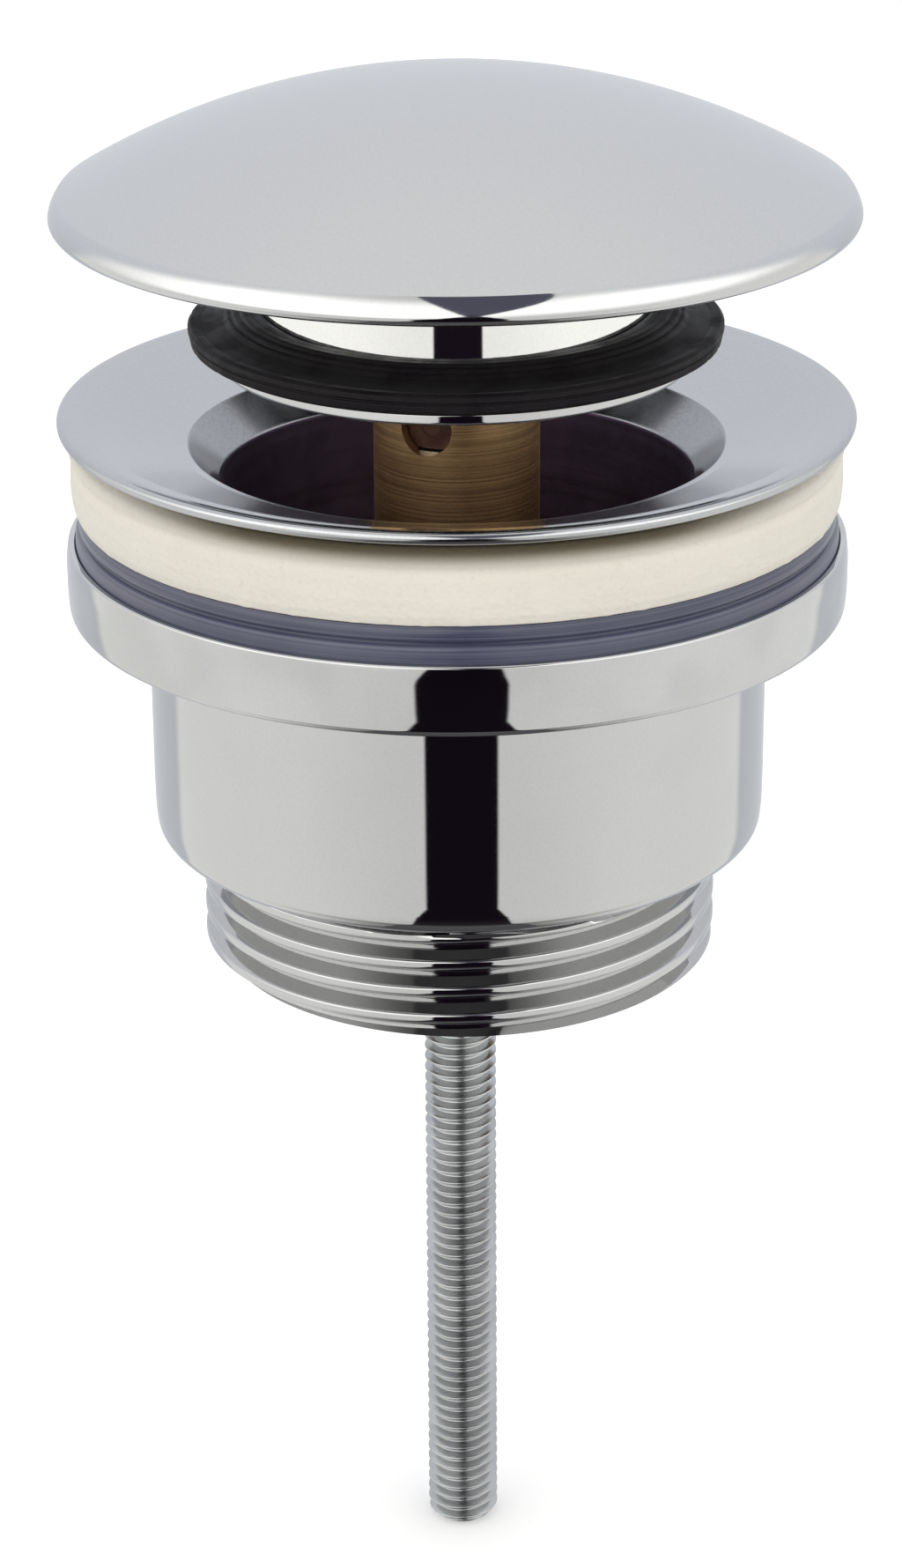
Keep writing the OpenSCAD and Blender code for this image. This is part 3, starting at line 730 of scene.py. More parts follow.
def turned_finish(name, base, worn, rough, dull, fineness):
    """Turned metal with lathe rings and patches of tarnish."""
    made, tree, shader = start_finish(name, 1.0, rough)
    rings = place_group(tree, turning_group(), {"Fineness": fineness})
    grain = place_group(tree, grain_group(), {"Cell Scale": 2600.0, "Mottle Scale": 210.0})
    patch = product(tree, (grain, "Mottle"), (rings, "Coarse Rings"))
    patch = calc(tree, "MULTIPLY_ADD", patch, 1.3, 0.5, clamp=True)
    join(tree, *blend(tree, patch, base, worn), shader, "Base Color")
    join(tree, *step(tree, (rings, "Rings"), 0.25, 0.75, rough, dull), shader, "Roughness")
    raise_surface(tree, shader, (rings, "Rings"), 0.25, RING_HEIGHT)
    return made


def rubber_finish(name, base, bloom, rough, dull, cells, gloss=0.5):
    """Moulded rubber or plastic with a fine grain and a paler bloom."""
    made, tree, shader = start_finish(name, 0.0, rough)
    shader.inputs["Specular IOR Level"].default_value = gloss
    grain = place_group(tree, grain_group(), {"Cell Scale": cells, "Mottle Scale": 330.0})
    tint = weighted(tree, (grain, "Specks"), 0.55, (grain, "Mottle"), 0.45)
    join(tree, *blend(tree, tint, base, bloom), shader, "Base Color")
    join(tree, *step(tree, (grain, "Mottle"), 0.0, 1.0, rough, dull), shader, "Roughness")
    raise_surface(tree, shader, (grain, "Cells"), 0.3, 0.00003)
    return made


def gasket_finish(colours):
    """Grey translucent rubber, streaked round the axis by the mould."""
    made, tree, shader = start_finish("grey_gasket_rubber", 0.0, 0.3)
    shader.inputs["Coat Weight"].default_value = 0.35
    shader.inputs["Coat Roughness"].default_value = 0.18
    rings = place_group(tree, turning_group(), {"Fineness": 2600.0})
    grain = place_group(tree, grain_group(), {"Cell Scale": 3500.0, "Mottle Scale": 120.0})
    streak = step(tree, (rings, "Rings"), 0.36, 0.62)
    mixed = weighted(tree, streak, 0.7, (grain, "Mottle"), 0.3)
    join(tree, *blend(tree, mixed, colours.grey_deep, colours.grey_rubber), shader, "Base Color")
    join(tree, *step(tree, (rings, "Rings"), 0.3, 0.7, 0.24, 0.42), shader, "Roughness")
    raise_surface(tree, shader, (rings, "Rings"), 0.2, 0.00004)
    return made


def foam_finish(colours):
    """Cream closed-cell foam with pores, and painted shade under the front and back of the rim."""
    made, tree, shader = start_finish("cream_foam_cells", 0.0, 0.9)
    shader.inputs["Specular IOR Level"].default_value = 0.2
    shader.inputs["Sheen Weight"].default_value = 0.08
    grain = place_group(tree, grain_group(), {"Cell Scale": 2300.0, "Mottle Scale": 190.0})
    pores = weighted(tree, (grain, "Specks"), 0.45, (grain, "Mottle"), 0.22)
    parts = object_parts(tree)
    across = calc(tree, "ABSOLUTE", (parts, "X"))
    # Painted shade: darker towards the foam's top under the rim, most at its front and back, less at its
    # ends.
    painted_shade = product(
        tree, step(tree, (parts, "Z"), 0.0042, 0.0059), step(tree, across, 0.014, 0.030, 1.0, 0.1)
    )
    body = blend(tree, pores, colours.foam, colours.foam_pores)
    join(tree, *blend(tree, painted_shade, body, colours.foam_painted_shade), shader, "Base Color")
    join(tree, *step(tree, (grain, "Mottle"), 0.0, 1.0, 0.82, 0.97), shader, "Roughness")
    raise_surface(tree, shader, (grain, "Cells"), 0.45, 0.0001)
    return made


class BASINWASTE_OT_stage(bpy.types.Operator):
    """Sets the camera, the pale floor and the soft light tent"""

    bl_idname = "basin_waste.stage"
    bl_label = "Stage"

    def execute(self, context):
        stage = context.scene.basin_waste.stage
        context.scene.view_settings.view_transform = "Standard"
        self.set_camera(context, stage)
        self.set_floor(context, stage)
        self.set_tent(context, stage)
        return {"FINISHED"}

    def set_camera(self, context, stage):
        """A camera in front of the part, above it and rolled a little."""
        camera = show("camera", bpy.data.cameras.new("camera"))
        camera.data.lens = stage.lens
        camera.data.sensor_width = 36.0
        camera.data.shift_x = stage.shift
        camera.data.clip_start = 0.01
        camera.data.clip_end = 50.0
        lift = stage.camera_lift
        back = Vector((0.0, -math.cos(lift), math.sin(lift)))
        camera.location = Vector((0.0, 0.0, stage.camera_aim)) + back * stage.camera_distance
        turn = (-back).to_track_quat("-Z", "Y")
        camera.rotation_mode = "QUATERNION"
        camera.rotation_quaternion = turn @ Quaternion((0.0, 0.0, 1.0), -stage.camera_roll)
        context.scene.camera = camera

    def set_floor(self, context, stage):
        """A pale round floor that keeps shadows, clear from below and for mirror reflections."""
        level = context.scene.basin_waste.clamp.bolt_end
        bm = bmesh.new()
        turned(bm, [(r, level) for r in FLOOR_RINGS], sides=96, closed=False)
        bm.normal_update()
        bmesh.ops.reverse_faces(bm, faces=[face for face in bm.faces if face.normal.z < 0.0])
        floor = show("floor", mesh_of("floor", bm))
        made = bpy.data.materials.new("pale_floor")
        tree = empty_tree(made)
        path = put(tree, "ShaderNodeLightPath")
        side = put(tree, "ShaderNodeNewGeometry")
        matt = put(tree, "ShaderNodeBsdfDiffuse")
        join(tree, *blend(tree, (path, "Is Diffuse Ray"), stage.floor, stage.floor_bounce), matt, "Color")
        glow = put(tree, "ShaderNodeEmission", {"Strength": FLOOR_GLOW})
        lit = put(tree, "ShaderNodeAddShader")
        join(tree, matt, 0, lit, 0)
        join(tree, glow, 0, lit, 1)
        clear = put(tree, "ShaderNodeBsdfTransparent")
        away = calc(tree, "MAXIMUM", (path, "Is Glossy Ray"), (side, "Backfacing"))
        shown = matt
        for share_of, other in (((path, "Is Camera Ray"), lit), (away, clear)):
            mixed = put(tree, "ShaderNodeMixShader")
            join(tree, *share_of, mixed, 0)
            join(tree, shown, 0, mixed, 1)
            join(tree, other, 0, mixed, 2)
            shown = mixed
        join(tree, shown, 0, put(tree, "ShaderNodeOutputMaterial"), "Surface")
        floor.data.materials.append(made)

    def set_tent(self, context, stage):
        """A white tent with a bluish back, a dark foot and a dark gap where the camera looks in."""
        world = bpy.data.worlds.new("light_tent")
        context.scene.world = world
        tree = empty_tree(world)
        unit = put(tree, "ShaderNodeVectorMath", operation="NORMALIZE")
        parts = put(tree, "ShaderNodeSeparateXYZ")
        join(tree, put(tree, "ShaderNodeTexCoord"), "Generated", unit, 0)
        join(tree, unit, "Vector", parts, "Vector")
        toward = product(tree, (parts, "Y"), -1.0)
        round_axis = product(tree, calc(tree, "ARCTAN2", (parts, "X"), toward), DEGREES)
        lift = product(tree, calc(tree, "ARCSINE", (parts, "Z")), DEGREES)
        aside = calc(tree, "ABSOLUTE", round_axis)
        height = calc(tree, "MULTIPLY_ADD", lift, 1.0 / 180.0, 0.5)

        def by_lift(stops):
            """A ramp over the angle above the horizon, from (degrees, colour) stops."""
            return ramp(tree, height, [(a / 180.0 + 0.5, tint) for a, tint in stops])

        def values(stops):
            """The same for plain numbers."""
            return by_lift([(a, (value, value, value)) for a, value in stops])

        # White sides with a brighter panel above the horizon, fading to the bluish back.
        beyond = calc(tree, "SUBTRACT", aside, values(SIDE_REACH))
        beyond = calc(tree, "DIVIDE", beyond, values(SIDE_SPREAD))
        side_share = step(tree, beyond, -1.0, 1.0, 1.0, 0.0)
        raised = calc(tree, "SUBTRACT", lift, step(tree, round_axis, -25.0, 25.0, 0.0, 9.0))
        panel = product(
            tree, step(tree, raised, -4.0, 9.0), step(tree, lift, 34.0, 57.0, 1.0, 0.0),
            step(tree, aside, 60.0, 126.0, 0.95, 0.12),
        )
        low_front = product(
            tree, step(tree, lift, -42.0, -34.0, 1.0, 0.0), step(tree, aside, 0.0, 105.0, 0.88, 0.0)
        )
        level = product(
            tree, calc(tree, "ADD", panel, step(tree, lift, -80.0, -56.0, 0.12, 1.0)),
            step(tree, aside, 12.0, 72.0, 0.87, 1.0), calc(tree, "SUBTRACT", 1.0, low_front),
        )
        white = put(tree, "ShaderNodeCombineColor")
        for entry, tint in WHITE_TINT:
            join(tree, *product(tree, level, tint), white, entry)
        tent = blend(tree, side_share, by_lift(TENT_BACK), (white, "Color"))

        # Dark gap at the camera, widest at its foot and narrowed to a slit above the horizon.
        gap = math.degrees(stage.gap)
        slit = gap * stage.slit
        wide = values([
            (-90.0, 200.0), (-82.0, 200.0), (-74.0, gap + 50.0), (-60.0, gap + 24.0), (-42.0, gap + 12.0),
            (-35.0, gap + 5.0), (-28.0, gap), (-17.0, gap), (-11.0, 0.95 * gap), (-4.0, 0.85 * gap),
            (4.0, 0.68 * gap), (10.0, 0.42 * gap), (14.0, slit), (62.0, slit + 27.0), (90.0, slit + 27.0),
        ])
        aim = calc(tree, "ADD", step(tree, lift, -12.0, 58.0, 0.0, 11.5), math.degrees(stage.gap_centre))
        from_gap = calc(tree, "ABSOLUTE", calc(tree, "SUBTRACT", round_axis, aim))
        edge = calc(tree, "SUBTRACT", from_gap, wide)
        open_gap = product(
            tree, step(tree, edge, -0.7, 0.7, 1.0, 0.0), step(tree, lift, 61.0, 70.0, 1.0, 0.0)
        )
        tent = blend(tree, open_gap, tent, by_lift(GAP_DARK))

        # Matt surfaces see an even light, and the camera sees plain white.
        path = put(tree, "ShaderNodeLightPath")
        shown = blend(tree, (path, "Is Diffuse Ray"), tent, values(SOFT_LIGHT))
        shown = blend(tree, (path, "Is Camera Ray"), shown, (1.0, 1.0, 1.0))
        light = put(tree, "ShaderNodeBackground", {"Strength": 1.0})
        join(tree, *shown, light, "Color")
        join(tree, light, 0, put(tree, "ShaderNodeOutputWorld"), "Surface")


class BASINWASTE_OT_cap(bpy.types.Operator):
    """Turns the domed cap with its creased shoulder and hollow underside"""

    bl_idname = "basin_waste.cap"
    bl_label = "Cap"

    def execute(self, context):
        waste = context.scene.basin_waste
        p = waste.plug
        inner = p.cap_radius - p.cap_edge
        rim = p.cap_under + p.cap_edge
        bend = p.shoulder - p.cap_edge
        middle = inner - math.sqrt(bend * bend - p.cap_edge * p.cap_edge)
        meet = math.asin(p.cap_edge / bend)
        corner_r = middle + p.shoulder * math.cos(p.crease)
        corner_z = p.cap_under + p.shoulder * math.sin(p.crease)
        rise = p.cap_top - corner_z
        dome = (corner_r * corner_r + rise * rise) / (2.0 * rise)
        centre = p.cap_top - dome
        land, lip = p.neck_radius + 0.0016, inner - p.cap_lip
        hollow = dome - p.cap_wall
        half_way = 0.5 * (land + lip)

        def on_sphere(radius, r):
            """Height of a sphere round the dome's centre."""
            return centre + math.sqrt(radius * radius - r * r)

        outline = softened([
            (0.0, p.stem_top, 0.0),
            (p.stem_bore, p.stem_top, 0.0),
            (p.stem_bore, p.cap_under, BROKEN),
            (land, p.cap_under, EASED),
            (land, on_sphere(hollow, land), 0.0008),
            (half_way, on_sphere(hollow, half_way), 0.0),
            (lip, on_sphere(hollow, lip), 0.0005),
            (lip, p.cap_under, EASED),
            (inner - 0.0003, p.cap_under, 0.0),
        ], closed=False)
        outline += arc(inner, rim, p.cap_edge, -0.5 * math.pi, meet, 16)
        side = arc(middle, p.cap_under, p.shoulder, meet, p.crease, 12)
        dome_steps = 48
        top = [corner_r * (1.0 - k / dome_steps) for k in range(1, dome_steps)]
        corners = [(r, z, 0.0) for r, z in side[1:-1]]
        corners.append((corner_r, corner_z, 0.0003))
        corners += [(r, on_sphere(dome, r), 0.0) for r in top]
        outline += softened(corners, closed=False, guard=0.00003, fine=math.radians(4.0))
        outline.append((0.0, p.cap_top))
        bm = bmesh.new()
        turned(bm, outline, closed=False)
        finish = chrome_finish("chrome_cap_plating", waste.finishes, "chrome", 0.05, 0.07)
        piece("cap", bm, [finish], "plug", "dome_cap")
        return {"FINISHED"}


class BASINWASTE_OT_plug_body(bpy.types.Operator):
    """Turns the plug's neck with its bottom disc and the groove for the seal"""

    bl_idname = "basin_waste.plug_body"
    bl_label = "Plug body"

    def execute(self, context):
        waste = context.scene.basin_waste
        p = waste.plug
        inside = p.neck_radius - p.neck_wall
        outline = softened([
            (p.stem_bore, p.cap_under, CRISP),
            (p.stem_bore, p.web_under, EASED),
            (inside, p.web_under, 0.0008),
            (inside, p.disc_low, EASED),
            (p.disc_radius, p.disc_low, 0.00025),
            (p.disc_radius - 0.00014, p.disc_top, 0.00015),
            (p.groove_radius, p.disc_top, CRISP),
            (p.groove_radius, p.groove_top, CRISP),
            (p.neck_radius, p.groove_top, BROKEN),
            (p.neck_radius, p.cap_under, CRISP),
        ])
        bm = bmesh.new()
        turned(bm, outline)
        neck = chrome_finish("chrome_plug_plating", waste.finishes, "bright", 0.03, 0.045)
        disc = chrome_finish("chrome_disc_plating", waste.finishes, "chrome", 0.03, 0.045)

        def pick(face):
            """Duller plating on the bottom disc."""
            return int(face.center.z < p.disc_top + 0.0001)

        piece("plug_neck", bm, [neck, disc], "plug", "plug_body", pick=pick)
        return {"FINISHED"}


class BASINWASTE_OT_seal(bpy.types.Operator):
    """Moulds the plug's rubber seal with its flared lip and stepped ridges"""

    bl_idname = "basin_waste.seal"
    bl_label = "Seal"

    def execute(self, context):
        waste = context.scene.basin_waste
        p = waste.plug
        lip = p.lip_radius
        outline = softened([
            (p.groove_radius, p.disc_top, CRISP),
            (p.disc_radius - 0.0004, p.disc_top, BROKEN),
            *corners_from(lip, p.disc_top, SEAL_LIP),
            *corners_from(p.neck_radius, p.disc_top, SEAL_RIDGE),
            *corners_from(p.neck_radius, p.seal_top, SEAL_CROWN),
            (p.neck_radius, p.groove_top, 0.00005),
            (p.groove_radius, p.groove_top, 0.00005),
        ], guard=0.00002)

        def flash(r, z, a):
            """Small nicks of moulding flash on the lip's edge."""
            if r < lip - 0.0003:
                return r, z
            nick = max(0.0, waves(a, 26.0, 3.0) - 0.12) * 0.00013
            return r - nick, z

        bm = bmesh.new()
        turned(bm, outline, sides=288, shape=flash)
        colours = waste.finishes
        finish = rubber_finish(
            "black_seal_rubber", colours.black_rubber, colours.rubber_bloom, 0.45, 0.62, 5200.0, gloss=0.2
        )
        piece("seal", bm, [finish], "plug", "plug_seal", smooth=50.0)
        return {"FINISHED"}


class BASINWASTE_OT_flange(bpy.types.Operator):
    """Turns the dished flange with its seat, throat and tube"""

    bl_idname = "basin_waste.flange"
    bl_label = "Flange"

    def execute(self, context):
        waste = context.scene.basin_waste
        f = waste.flange
        edge = 0.5 * f.rim_thick
        rounding = f.rim_radius - edge
        outline = softened([
            (f.lip_radius, f.tube_foot, BROKEN),
            (f.tube_radius, f.tube_foot, 0.0004),
            (f.tube_radius, f.under, 0.0005),
            (rounding, f.rim_top - f.rim_thick, BROKEN),
        ], closed=False)
        outline += arc(rounding, f.rim_top - edge, edge, -0.45 * math.pi, 0.42 * math.pi, 14)
        outline += softened([
            *corners_from(rounding, f.rim_top, FLANGE_RIM),
            *corners_from(f.seat_radius, f.seat_top, FLANGE_SEAT),
            (f.throat_radius, f.throat_top, 0.0007),
            (f.throat_radius, f.lip_top, BROKEN),
            (f.lip_radius, f.lip_top, BROKEN),
        ], closed=False)
        bm = bmesh.new()
        turned(bm, outline)
        colours = waste.finishes
        dish = chrome_finish("chrome_flange_plating", colours, "satin", 0.13, 0.17)
        # Painted shade: the tube's metal is kept near black where the throat is in shade.
        painted_dark_tube = turned_finish("bare_tube_metal", colours.tube, colours.tube_worn, 0.42, 0.55, 2600.0)
        # Painted reflection: the darker seat plating stands in for the seal's dark reflection.
        painted_dark = chrome_finish("rubbed_seat_plating", colours, "seat", 0.15, 0.2)

        def pick(face):
            """Tube metal painted dark as shade inside the tube, and plating painted darker on the seat as
            the seal's dark reflection.
            """
            inside = math.hypot(face.center.x, face.center.y) < f.throat_radius + 0.00005
            if inside and f.lip_top < face.center.z < f.throat_top:
                return 1
            if face.normal.z > 0.2 and f.throat_top - 0.0004 < face.center.z < f.seat_top:
                return 2
            return 0

        piece("flange_dish", bm, [dish, painted_dark_tube, painted_dark], "waste", "flange", pick=pick)
        return {"FINISHED"}


class BASINWASTE_OT_foam_washer(bpy.types.Operator):
    """Moulds the cream foam washer, creased and bulged by the clamp"""

    bl_idname = "basin_waste.foam_washer"
    bl_label = "Foam washer"

    def execute(self, context):
        waste = context.scene.basin_waste
        w, f = waste.washers, waste.flange
        out = w.foam_radius
        slope = (f.rim_top - f.rim_thick - f.under) / (f.rim_radius - 0.5 * f.rim_thick - f.tube_radius)

        def under(r):
            """Height of the foam's top, just under the flange."""
            return f.under + slope * (r - f.tube_radius) - 0.00005

        corners = [
            (w.foam_bore, 0.0, EASED),
            *corners_from(out, 0.0, FOAM_LOW),
            (out - 0.00018 - w.foam_crease, 0.0042, 0.0006),
            *corners_from(out, 0.0, FOAM_HIGH),
            (out - 0.00075, under(out - 0.00075), 0.0005),
            (w.foam_bore, under(w.foam_bore), EASED),
        ]
        outline = []
        base = softened(corners, guard=0.0001)
        for (r0, z0), (r1, z1) in zip(base, base[1:] + base[:1]):
            parts = max(1, math.ceil(math.hypot(r1 - r0, z1 - z0) / 0.0006))
            outline += [(r0 + (r1 - r0) * k / parts, z0 + (z1 - z0) * k / parts) for k in range(parts)]

        def uneven(r, z, a):
            """Slow waves and small crumbs of the cut foam, more on its lower edge."""
            share_out = min(1.0, max(0.0, (r - out + 0.002) / 0.0012))
            slow = waves(a, 3.2, 180.0 * z + 7.0)
            fine = waves(a, 34.0, 900.0 * z)
            low_edge = max(0.0, 1.0 - z / 0.0009)
            crumb = max(0.0, waves(a, 61.0, 1.5) - 0.3) * low_edge
            move = share_out * (0.00006 * slow + 0.00002 * fine - 0.00006 + 0.00035 * crumb)
            return min(r + move, out), z

        bm = bmesh.new()
        turned(bm, outline, sides=320, shape=uneven)
        finish = foam_finish(waste.finishes)
        made = piece("foam_ring", bm, [finish], "waste", "foam_washer", smooth=60.0)
        return {"FINISHED"}


class BASINWASTE_OT_gasket(bpy.types.Operator):
    """Moulds the grey gasket with its groove and soft bands"""

    bl_idname = "basin_waste.gasket"
    bl_label = "Gasket"

    def execute(self, context):
        waste = context.scene.basin_waste
        w, t = waste.washers, waste.tail
        out = w.gasket_radius
        middle = 0.5 * t.collar_top
        outline = softened([
            (w.gasket_bore, w.gasket_low, BROKEN),
            (out, w.gasket_low, EASED),
            (out, t.collar_top + 0.0002, BROKEN),
            *corners_from(out, middle, GASKET_LOW),
            (out - w.gasket_groove, middle - 0.0001, 0.00008),
            (out - w.gasket_groove, middle + 0.00012, 0.00008),
            *corners_from(out, middle, GASKET_HIGH),
            (out - 0.0004, 0.0, BROKEN),
            (w.gasket_bore, 0.0, BROKEN),
        ])
        bm = bmesh.new()
        turned(bm, outline)
        piece("gasket_ring", bm, [gasket_finish(waste.finishes)], "tail", "lower_gasket")
        return {"FINISHED"}


class BASINWASTE_OT_lower_body(bpy.types.Operator):
    """Turns the collar and pot, and cuts the pipe thread on the tail"""

    bl_idname = "basin_waste.lower_body"
    bl_label = "Lower body"

    def execute(self, context):
        waste = context.scene.basin_waste
        t = waste.tail
        outline = softened([
            (t.ledge_radius, t.pot_foot, BROKEN),
            (t.pot_radius - 0.00022, t.pot_foot, t.foot_round),
            *corners_from(t.pot_radius, t.pot_foot, POT_WALL),
            (t.pot_radius, t.shoulder, BROKEN),
            *corners_from(t.collar_radius, t.shoulder, COLLAR_LOW),
            *corners_from(t.collar_radius, t.collar_top, COLLAR_HIGH),
            (t.cup_radius, t.collar_top, CRISP),
            (t.cup_radius, t.cup_floor, BROKEN),
            (t.pot_bore, t.cup_floor, EASED),
            (t.pot_bore, t.pot_floor, 0.001),
            (t.ledge_radius, t.pot_floor, EASED),
        ], fine=math.radians(5.0))
        bm = bmesh.new()
        turned(bm, outline)

        crest, root = t.thread_radius, t.thread_radius - t.thread_depth
        flank_start, flank_end = 0.165, 0.419
        high, low = crest - 0.000115, root + 0.00003
        slope = (low - high) / (flank_end - flank_start)
        half = [(0.100, crest), (0.125, crest - 0.00002), (0.145, crest - 0.00006)]
        flank = (flank_start, 0.195, 0.388, flank_end)
        half += [(turn, high + slope * (turn - flank_start)) for turn in flank]
        profile = [(0.0, crest), *half, (0.5, root), *((1.0 - turn, r) for turn, r in reversed(half))]
        relief = crest - 0.0012
        bevel = 0.00045
        sleeve_top = t.pot_foot + 0.0004

        def limit(z):
            """Bevel at the tail's end and the run out under the pot."""
            start = crest - bevel + (z - t.tail_foot)
            if z > t.thread_top:
                return relief
            return min(start, relief + 2.0 * (t.thread_top - z))

        rims = threaded(bm, profile, limit, t.thread_pitch, t.tail_foot, sleeve_top, 224)
        close_to_bore(bm, *rims, t.tail_bore)
        turned(bm, softened([
            (t.ledge_radius, t.ledge_low, BROKEN),
            (t.tail_bore + 0.0003, t.ledge_low, 0.0),
            (t.tail_bore + 0.0003, sleeve_top, 0.0),
            (t.ledge_radius, sleeve_top, 0.0),
        ]))
        colours = waste.finishes
        pot = chrome_finish("chrome_body_plating", colours, "chrome", 0.03, 0.045, cloud=(0.07, 0.11))
        thin = chrome_finish("thin_thread_plating", colours, "thread", 0.05, 0.08)
        handled = chrome_finish("handled_collar_plating", colours, "chrome", 0.03, 0.045, cloud=(0.0, 0.22))

        def pick(face):
            """Thin plating on the thread's flanks and clouded plating on the collar."""
            place = face.center
            on_tail = t.tail_foot + bevel < place.z < t.pot_foot - 0.0001
            if on_tail and root - 0.0001 < place.xy.length < crest - 0.00009:
                return 1
            return 2 if place.z > t.shoulder - 0.0001 else 0

        piece("pot_and_tail", bm, [pot, thin, handled], "tail", "lower_body", pick=pick)
        return {"FINISHED"}


class BASINWASTE_OT_bridges(bpy.types.Operator):
    """Casts the two brass bridges, each a ring, two crossed arms and a hub"""

    bl_idname = "basin_waste.bridges"
    bl_label = "Bridges"

    def execute(self, context):
        waste = context.scene.basin_waste
        c = waste.clamp
        colours = waste.finishes
        finish = turned_finish("cast_brass", colours.brass, colours.brass_tarnish, 0.32, 0.5, 3500.0)
        upper_hub = [
            (c.hub_hole, c.hub_low, EASED),
            (c.hub_radius, c.hub_low, 0.0006),
            (c.hub_radius, c.hub_top, 0.0004),
            (c.hub_bore, c.hub_top, EASED),
            (c.hub_bore, c.hub_seat, BROKEN),
            (c.hub_hole, c.hub_seat, BROKEN),
        ]
        lower_hub = [
            (c.nut_hole, c.nut_low, 0.0004),
            (c.nut_radius, c.nut_low, 0.0005),
            (c.nut_radius, c.nut_top, 0.0005),
            (c.nut_hole, c.nut_top, 0.0004),
        ]
        for name, node, body, ring, low, hub, clear in (
            ("upper_cross", "upper_bridge", "waste", c.upper_ring, c.upper_low, upper_hub, c.hub_bore),
            ("lower_cross", "lower_bridge", "tail", c.lower_ring, c.lower_low, lower_hub, c.nut_hole),
        ):
            bm = bmesh.new()
            turned(bm, softened([
                (ring - c.ring_wall, low, EASED),
                (ring, low, EASED),
                (ring, low + c.arm_height, EASED),
                (ring - c.ring_wall, low + c.arm_height, EASED),
            ]), sides=160)
            turned(bm, softened(hub), sides=128)
            inner = clear + 0.0008
            reach = ring - 0.5 * c.ring_wall
            for k in range(4):
                turn = Matrix.Rotation(math.radians(45.0 + 90.0 * k), 4, "Z")
                spot = Matrix.Translation((0.5 * (inner + reach), 0.0, low + 0.5 * c.arm_height))
                bar(bm, (reach - inner, c.arm_width, c.arm_height - 0.00002), turn @ spot, 0.0004)
            piece(name, bm, [finish], body, node)
        return {"FINISHED"}


class BASINWASTE_OT_bolt(bpy.types.Operator):
    """Cuts the threaded bolt and its socket head"""

    bl_idname = "basin_waste.bolt"
    bl_label = "Centre bolt"

    def execute(self, context):
        waste = context.scene.basin_waste
        c = waste.clamp
        crest, root = c.bolt_radius, c.bolt_radius - c.bolt_depth
        profile = [
            (0.00, crest), (0.09, crest), (0.13, crest - 0.00002), (0.46, root + 0.00002),
            (0.50, root), (0.60, root), (0.64, root + 0.00002), (0.96, crest - 0.00002),
        ]
        tip = 0.00072

        def limit(z):
            """Bevel at the bolt's tip."""
            return min(crest, crest - tip + (z - c.bolt_end))

        bm = bmesh.new()
        low, high = threaded(bm, profile, limit, c.bolt_pitch, c.bolt_end, c.head_low + 0.0002, 56)
        close_with_cap(bm, low, 0.0002)
        close_with_cap(bm, high, 0.0002)
        key = 0.5 * c.key_flat
        corner = key * HEX_CORNER
        floor = 0.5 * (c.head_low + c.head_top)
        mouth = c.head_top - 0.0003
        turned(bm, softened([
            (0.0, c.head_low, 0.0),
            (c.head_radius, c.head_low, BROKEN),
            (c.head_radius, c.head_top, 0.0006),
            (corner + 0.0003, c.head_top, EASED),
            (corner, mouth, 0.0),
            (corner, floor, 0.0),
            (0.0, floor - 0.0006, 0.0),
        ], closed=False), sides=96, closed=False)
        wall = corner - key + 0.0002
        spot = Matrix.Translation((key + 0.5 * wall, 0.0, 0.5 * (floor + mouth)))
        for k in range(6):
            turn = Matrix.Rotation(math.radians(30.0 + 60.0 * k), 4, "Z")
            bar(bm, (wall, key * HEX_SIDE, mouth - floor), turn @ spot, 0.00004)
        colours = waste.finishes
        finish = turned_finish("zinc_plated_bolt", colours.zinc, colours.zinc_dull, 0.2, 0.34, 5000.0)
        piece("clamp_bolt", bm, [finish], "bolt", "centre_bolt", smooth=32.0)
        return {"FINISHED"}


class BASINWASTE_OT_spring(bpy.types.Operator):
    """Winds the return spring, closed at both ends"""

    bl_idname = "basin_waste.spring"
    bl_label = "Return spring"

    def execute(self, context):
        waste = context.scene.basin_waste
        s = waste.cartridge
        half = 0.5 * s.spring_wire
        low, rise = s.spring_low + half, s.spring_top - s.spring_low - s.spring_wire
        tight = s.spring_wire / rise
        around, sides = 40, 12
        rings = []
        bm = bmesh.new()
        for i in range(s.spring_turns * around + 1):
            t = i / around
            if t < 1.0:
                climb = t * tight
            elif t > s.spring_turns - 1.0:
                climb = 1.0 - (s.spring_turns - t) * tight
            else:
                climb = tight + (t - 1.0) / (s.spring_turns - 2.0) * (1.0 - 2.0 * tight)
            a = FULL_TURN * t
            ring = []
            for k in range(sides):
                b = FULL_TURN * k / sides
                r = s.spring_radius + half * math.cos(b)
                z = low + climb * rise + half * math.sin(b)
                ring.append(bm.verts.new((r * math.cos(a), r * math.sin(a), z)))
            rings.append(ring)
        for first, second in zip(rings, rings[1:]):
            for k in range(sides):
                m = (k + 1) % sides
                bm.faces.new((first[k], first[m], second[m], second[k]))
        bm.faces.new(rings[0])
        bm.faces.new(rings[-1])
        colours = waste.finishes
        finish = turned_finish("spring_wire", colours.steel, colours.zinc_dull, 0.22, 0.36, 2500.0)
        made = piece("coil_spring", bm, [finish], "waste", "return_spring")
        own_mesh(made)
        return {"FINISHED"}


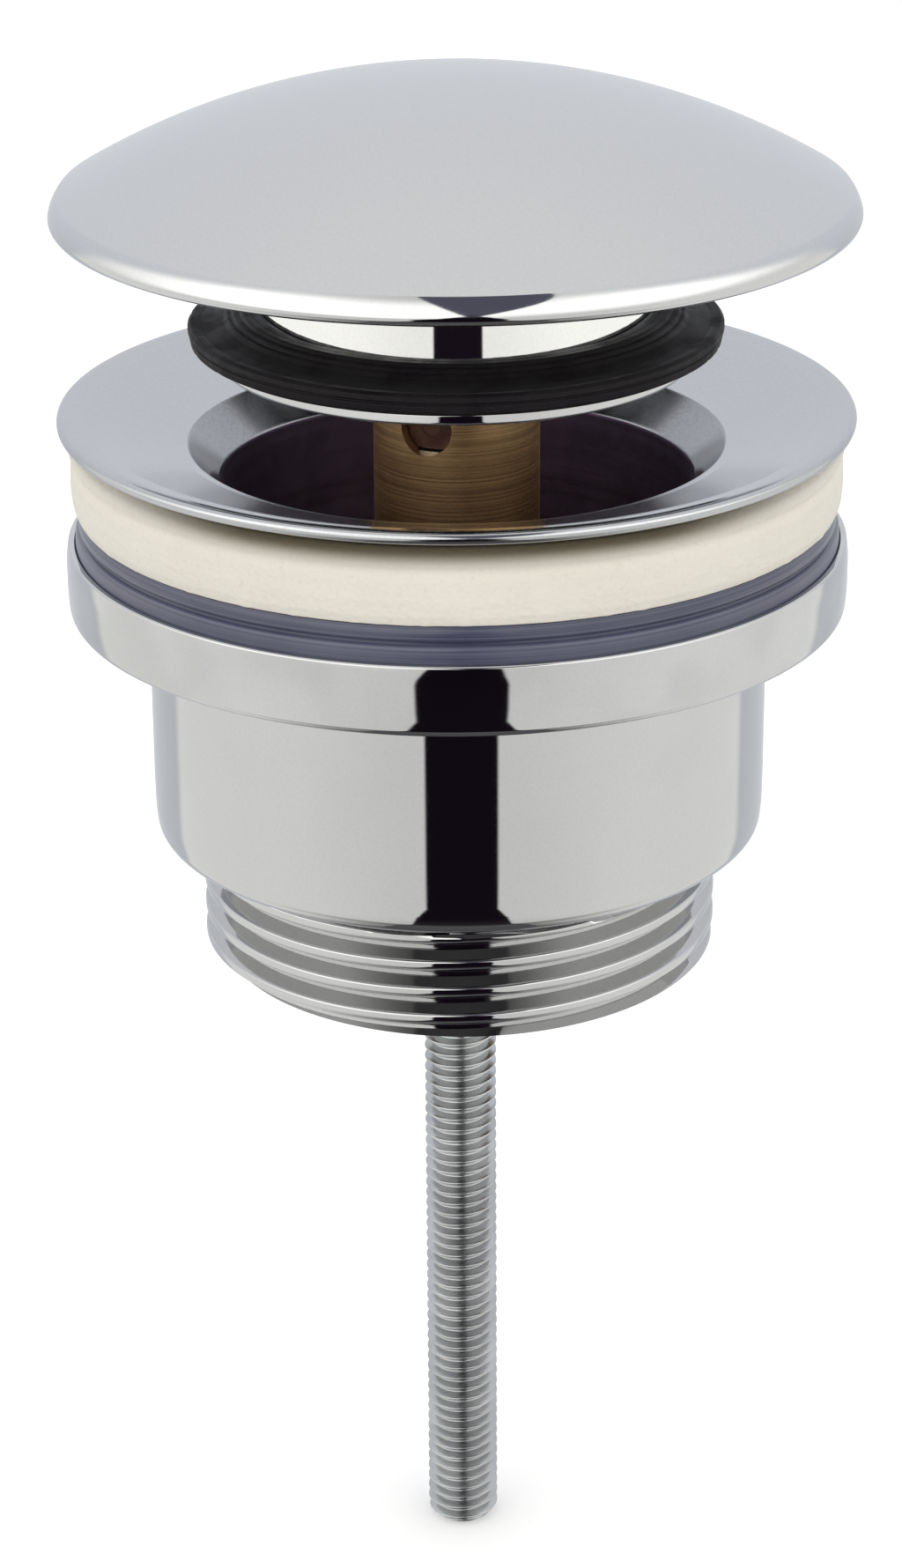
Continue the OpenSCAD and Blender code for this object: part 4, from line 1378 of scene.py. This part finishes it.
class BASINWASTE_OT_cartridge(bpy.types.Operator):
    """Finishes the small solids of the click cartridge and the bolt's washer"""

    bl_idname = "basin_waste.cartridge"
    bl_label = "Cartridge"

    def execute(self, context):
        colours = context.scene.basin_waste.finishes
        brass = turned_finish("turned_brass", colours.brass, colours.brass_tarnish, 0.26, 0.42, 6500.0)
        bright = turned_finish("bright_steel", colours.steel, colours.zinc_dull, 0.18, 0.3, 7000.0)
        black = rubber_finish(
            "black_ring_rubber", colours.black_rubber, colours.rubber_bloom, 0.38, 0.55, 6000.0
        )
        dark = rubber_finish("dark_ring_plastic", colours.plastic, colours.plastic_rub, 0.34, 0.5, 4200.0)
        barrel = turned_finish("barrel_brass", colours.barrel, colours.barrel_tarnish, 0.34, 0.48, 6500.0)
        # Painted shade: the follower pin's steel is darkened for the shade in the side hole.
        browned = turned_finish("browned_steel", colours.browned, colours.plastic_rub, 0.4, 0.55, 6000.0)
        for node, finish in (
            ("guide_bush", brass),
            ("cam_plunger", brass),
            ("retaining_clip", bright),
            ("bolt_washer", bright),
            ("cartridge_barrel", barrel),
            ("follower_pin", browned),
            ("barrel_o_ring", black),
            ("follower_ring", dark),
        ):
            dress(node, finish)
        return {"FINISHED"}


class BASINWASTE_PT_panel(bpy.types.Panel):
    """Lists the pieces and their settings"""

    bl_idname = "BASINWASTE_PT_panel"
    bl_label = "Basin Waste"
    bl_space_type = "VIEW_3D"
    bl_region_type = "UI"
    bl_category = "Basin Waste"

    def draw(self, context):
        waste = context.scene.basin_waste
        for operator in OPERATORS:
            self.layout.operator(operator.bl_idname, text=operator.bl_label)
        for title in BasinWaste.__annotations__:
            box = self.layout.box()
            box.label(text=title.capitalize())
            group = getattr(waste, title)
            for key in type(group).__annotations__:
                box.prop(group, key)


OPERATORS = (
    BASINWASTE_OT_stage,
    BASINWASTE_OT_cap,
    BASINWASTE_OT_plug_body,
    BASINWASTE_OT_seal,
    BASINWASTE_OT_flange,
    BASINWASTE_OT_foam_washer,
    BASINWASTE_OT_gasket,
    BASINWASTE_OT_lower_body,
    BASINWASTE_OT_bridges,
    BASINWASTE_OT_bolt,
    BASINWASTE_OT_spring,
    BASINWASTE_OT_cartridge,
)
GROUPS = (
    PlugSizes, FlangeSizes, WasherSizes, TailSizes, ClampSizes, CartridgeSizes,
    Finishes, StageSettings, BasinWaste,
)
CLASSES = (*GROUPS, *OPERATORS, BASINWASTE_PT_panel)


def register():
    for cls in CLASSES:
        bpy.utils.register_class(cls)
    bpy.types.Scene.basin_waste = bpy.props.PointerProperty(type=BasinWaste)


def unregister():
    del bpy.types.Scene.basin_waste
    for cls in reversed(CLASSES):
        bpy.utils.unregister_class(cls)


def main():
    register()
    bpy.ops.basin_waste.stage()
    bpy.ops.basin_waste.cap()
    bpy.ops.basin_waste.plug_body()
    bpy.ops.basin_waste.seal()
    bpy.ops.basin_waste.flange()
    bpy.ops.basin_waste.foam_washer()
    bpy.ops.basin_waste.gasket()
    bpy.ops.basin_waste.lower_body()
    bpy.ops.basin_waste.bridges()
    bpy.ops.basin_waste.bolt()
    bpy.ops.basin_waste.spring()
    bpy.ops.basin_waste.cartridge()
    bpy.context.view_layer.update()


if __name__ == "__main__":
    main()
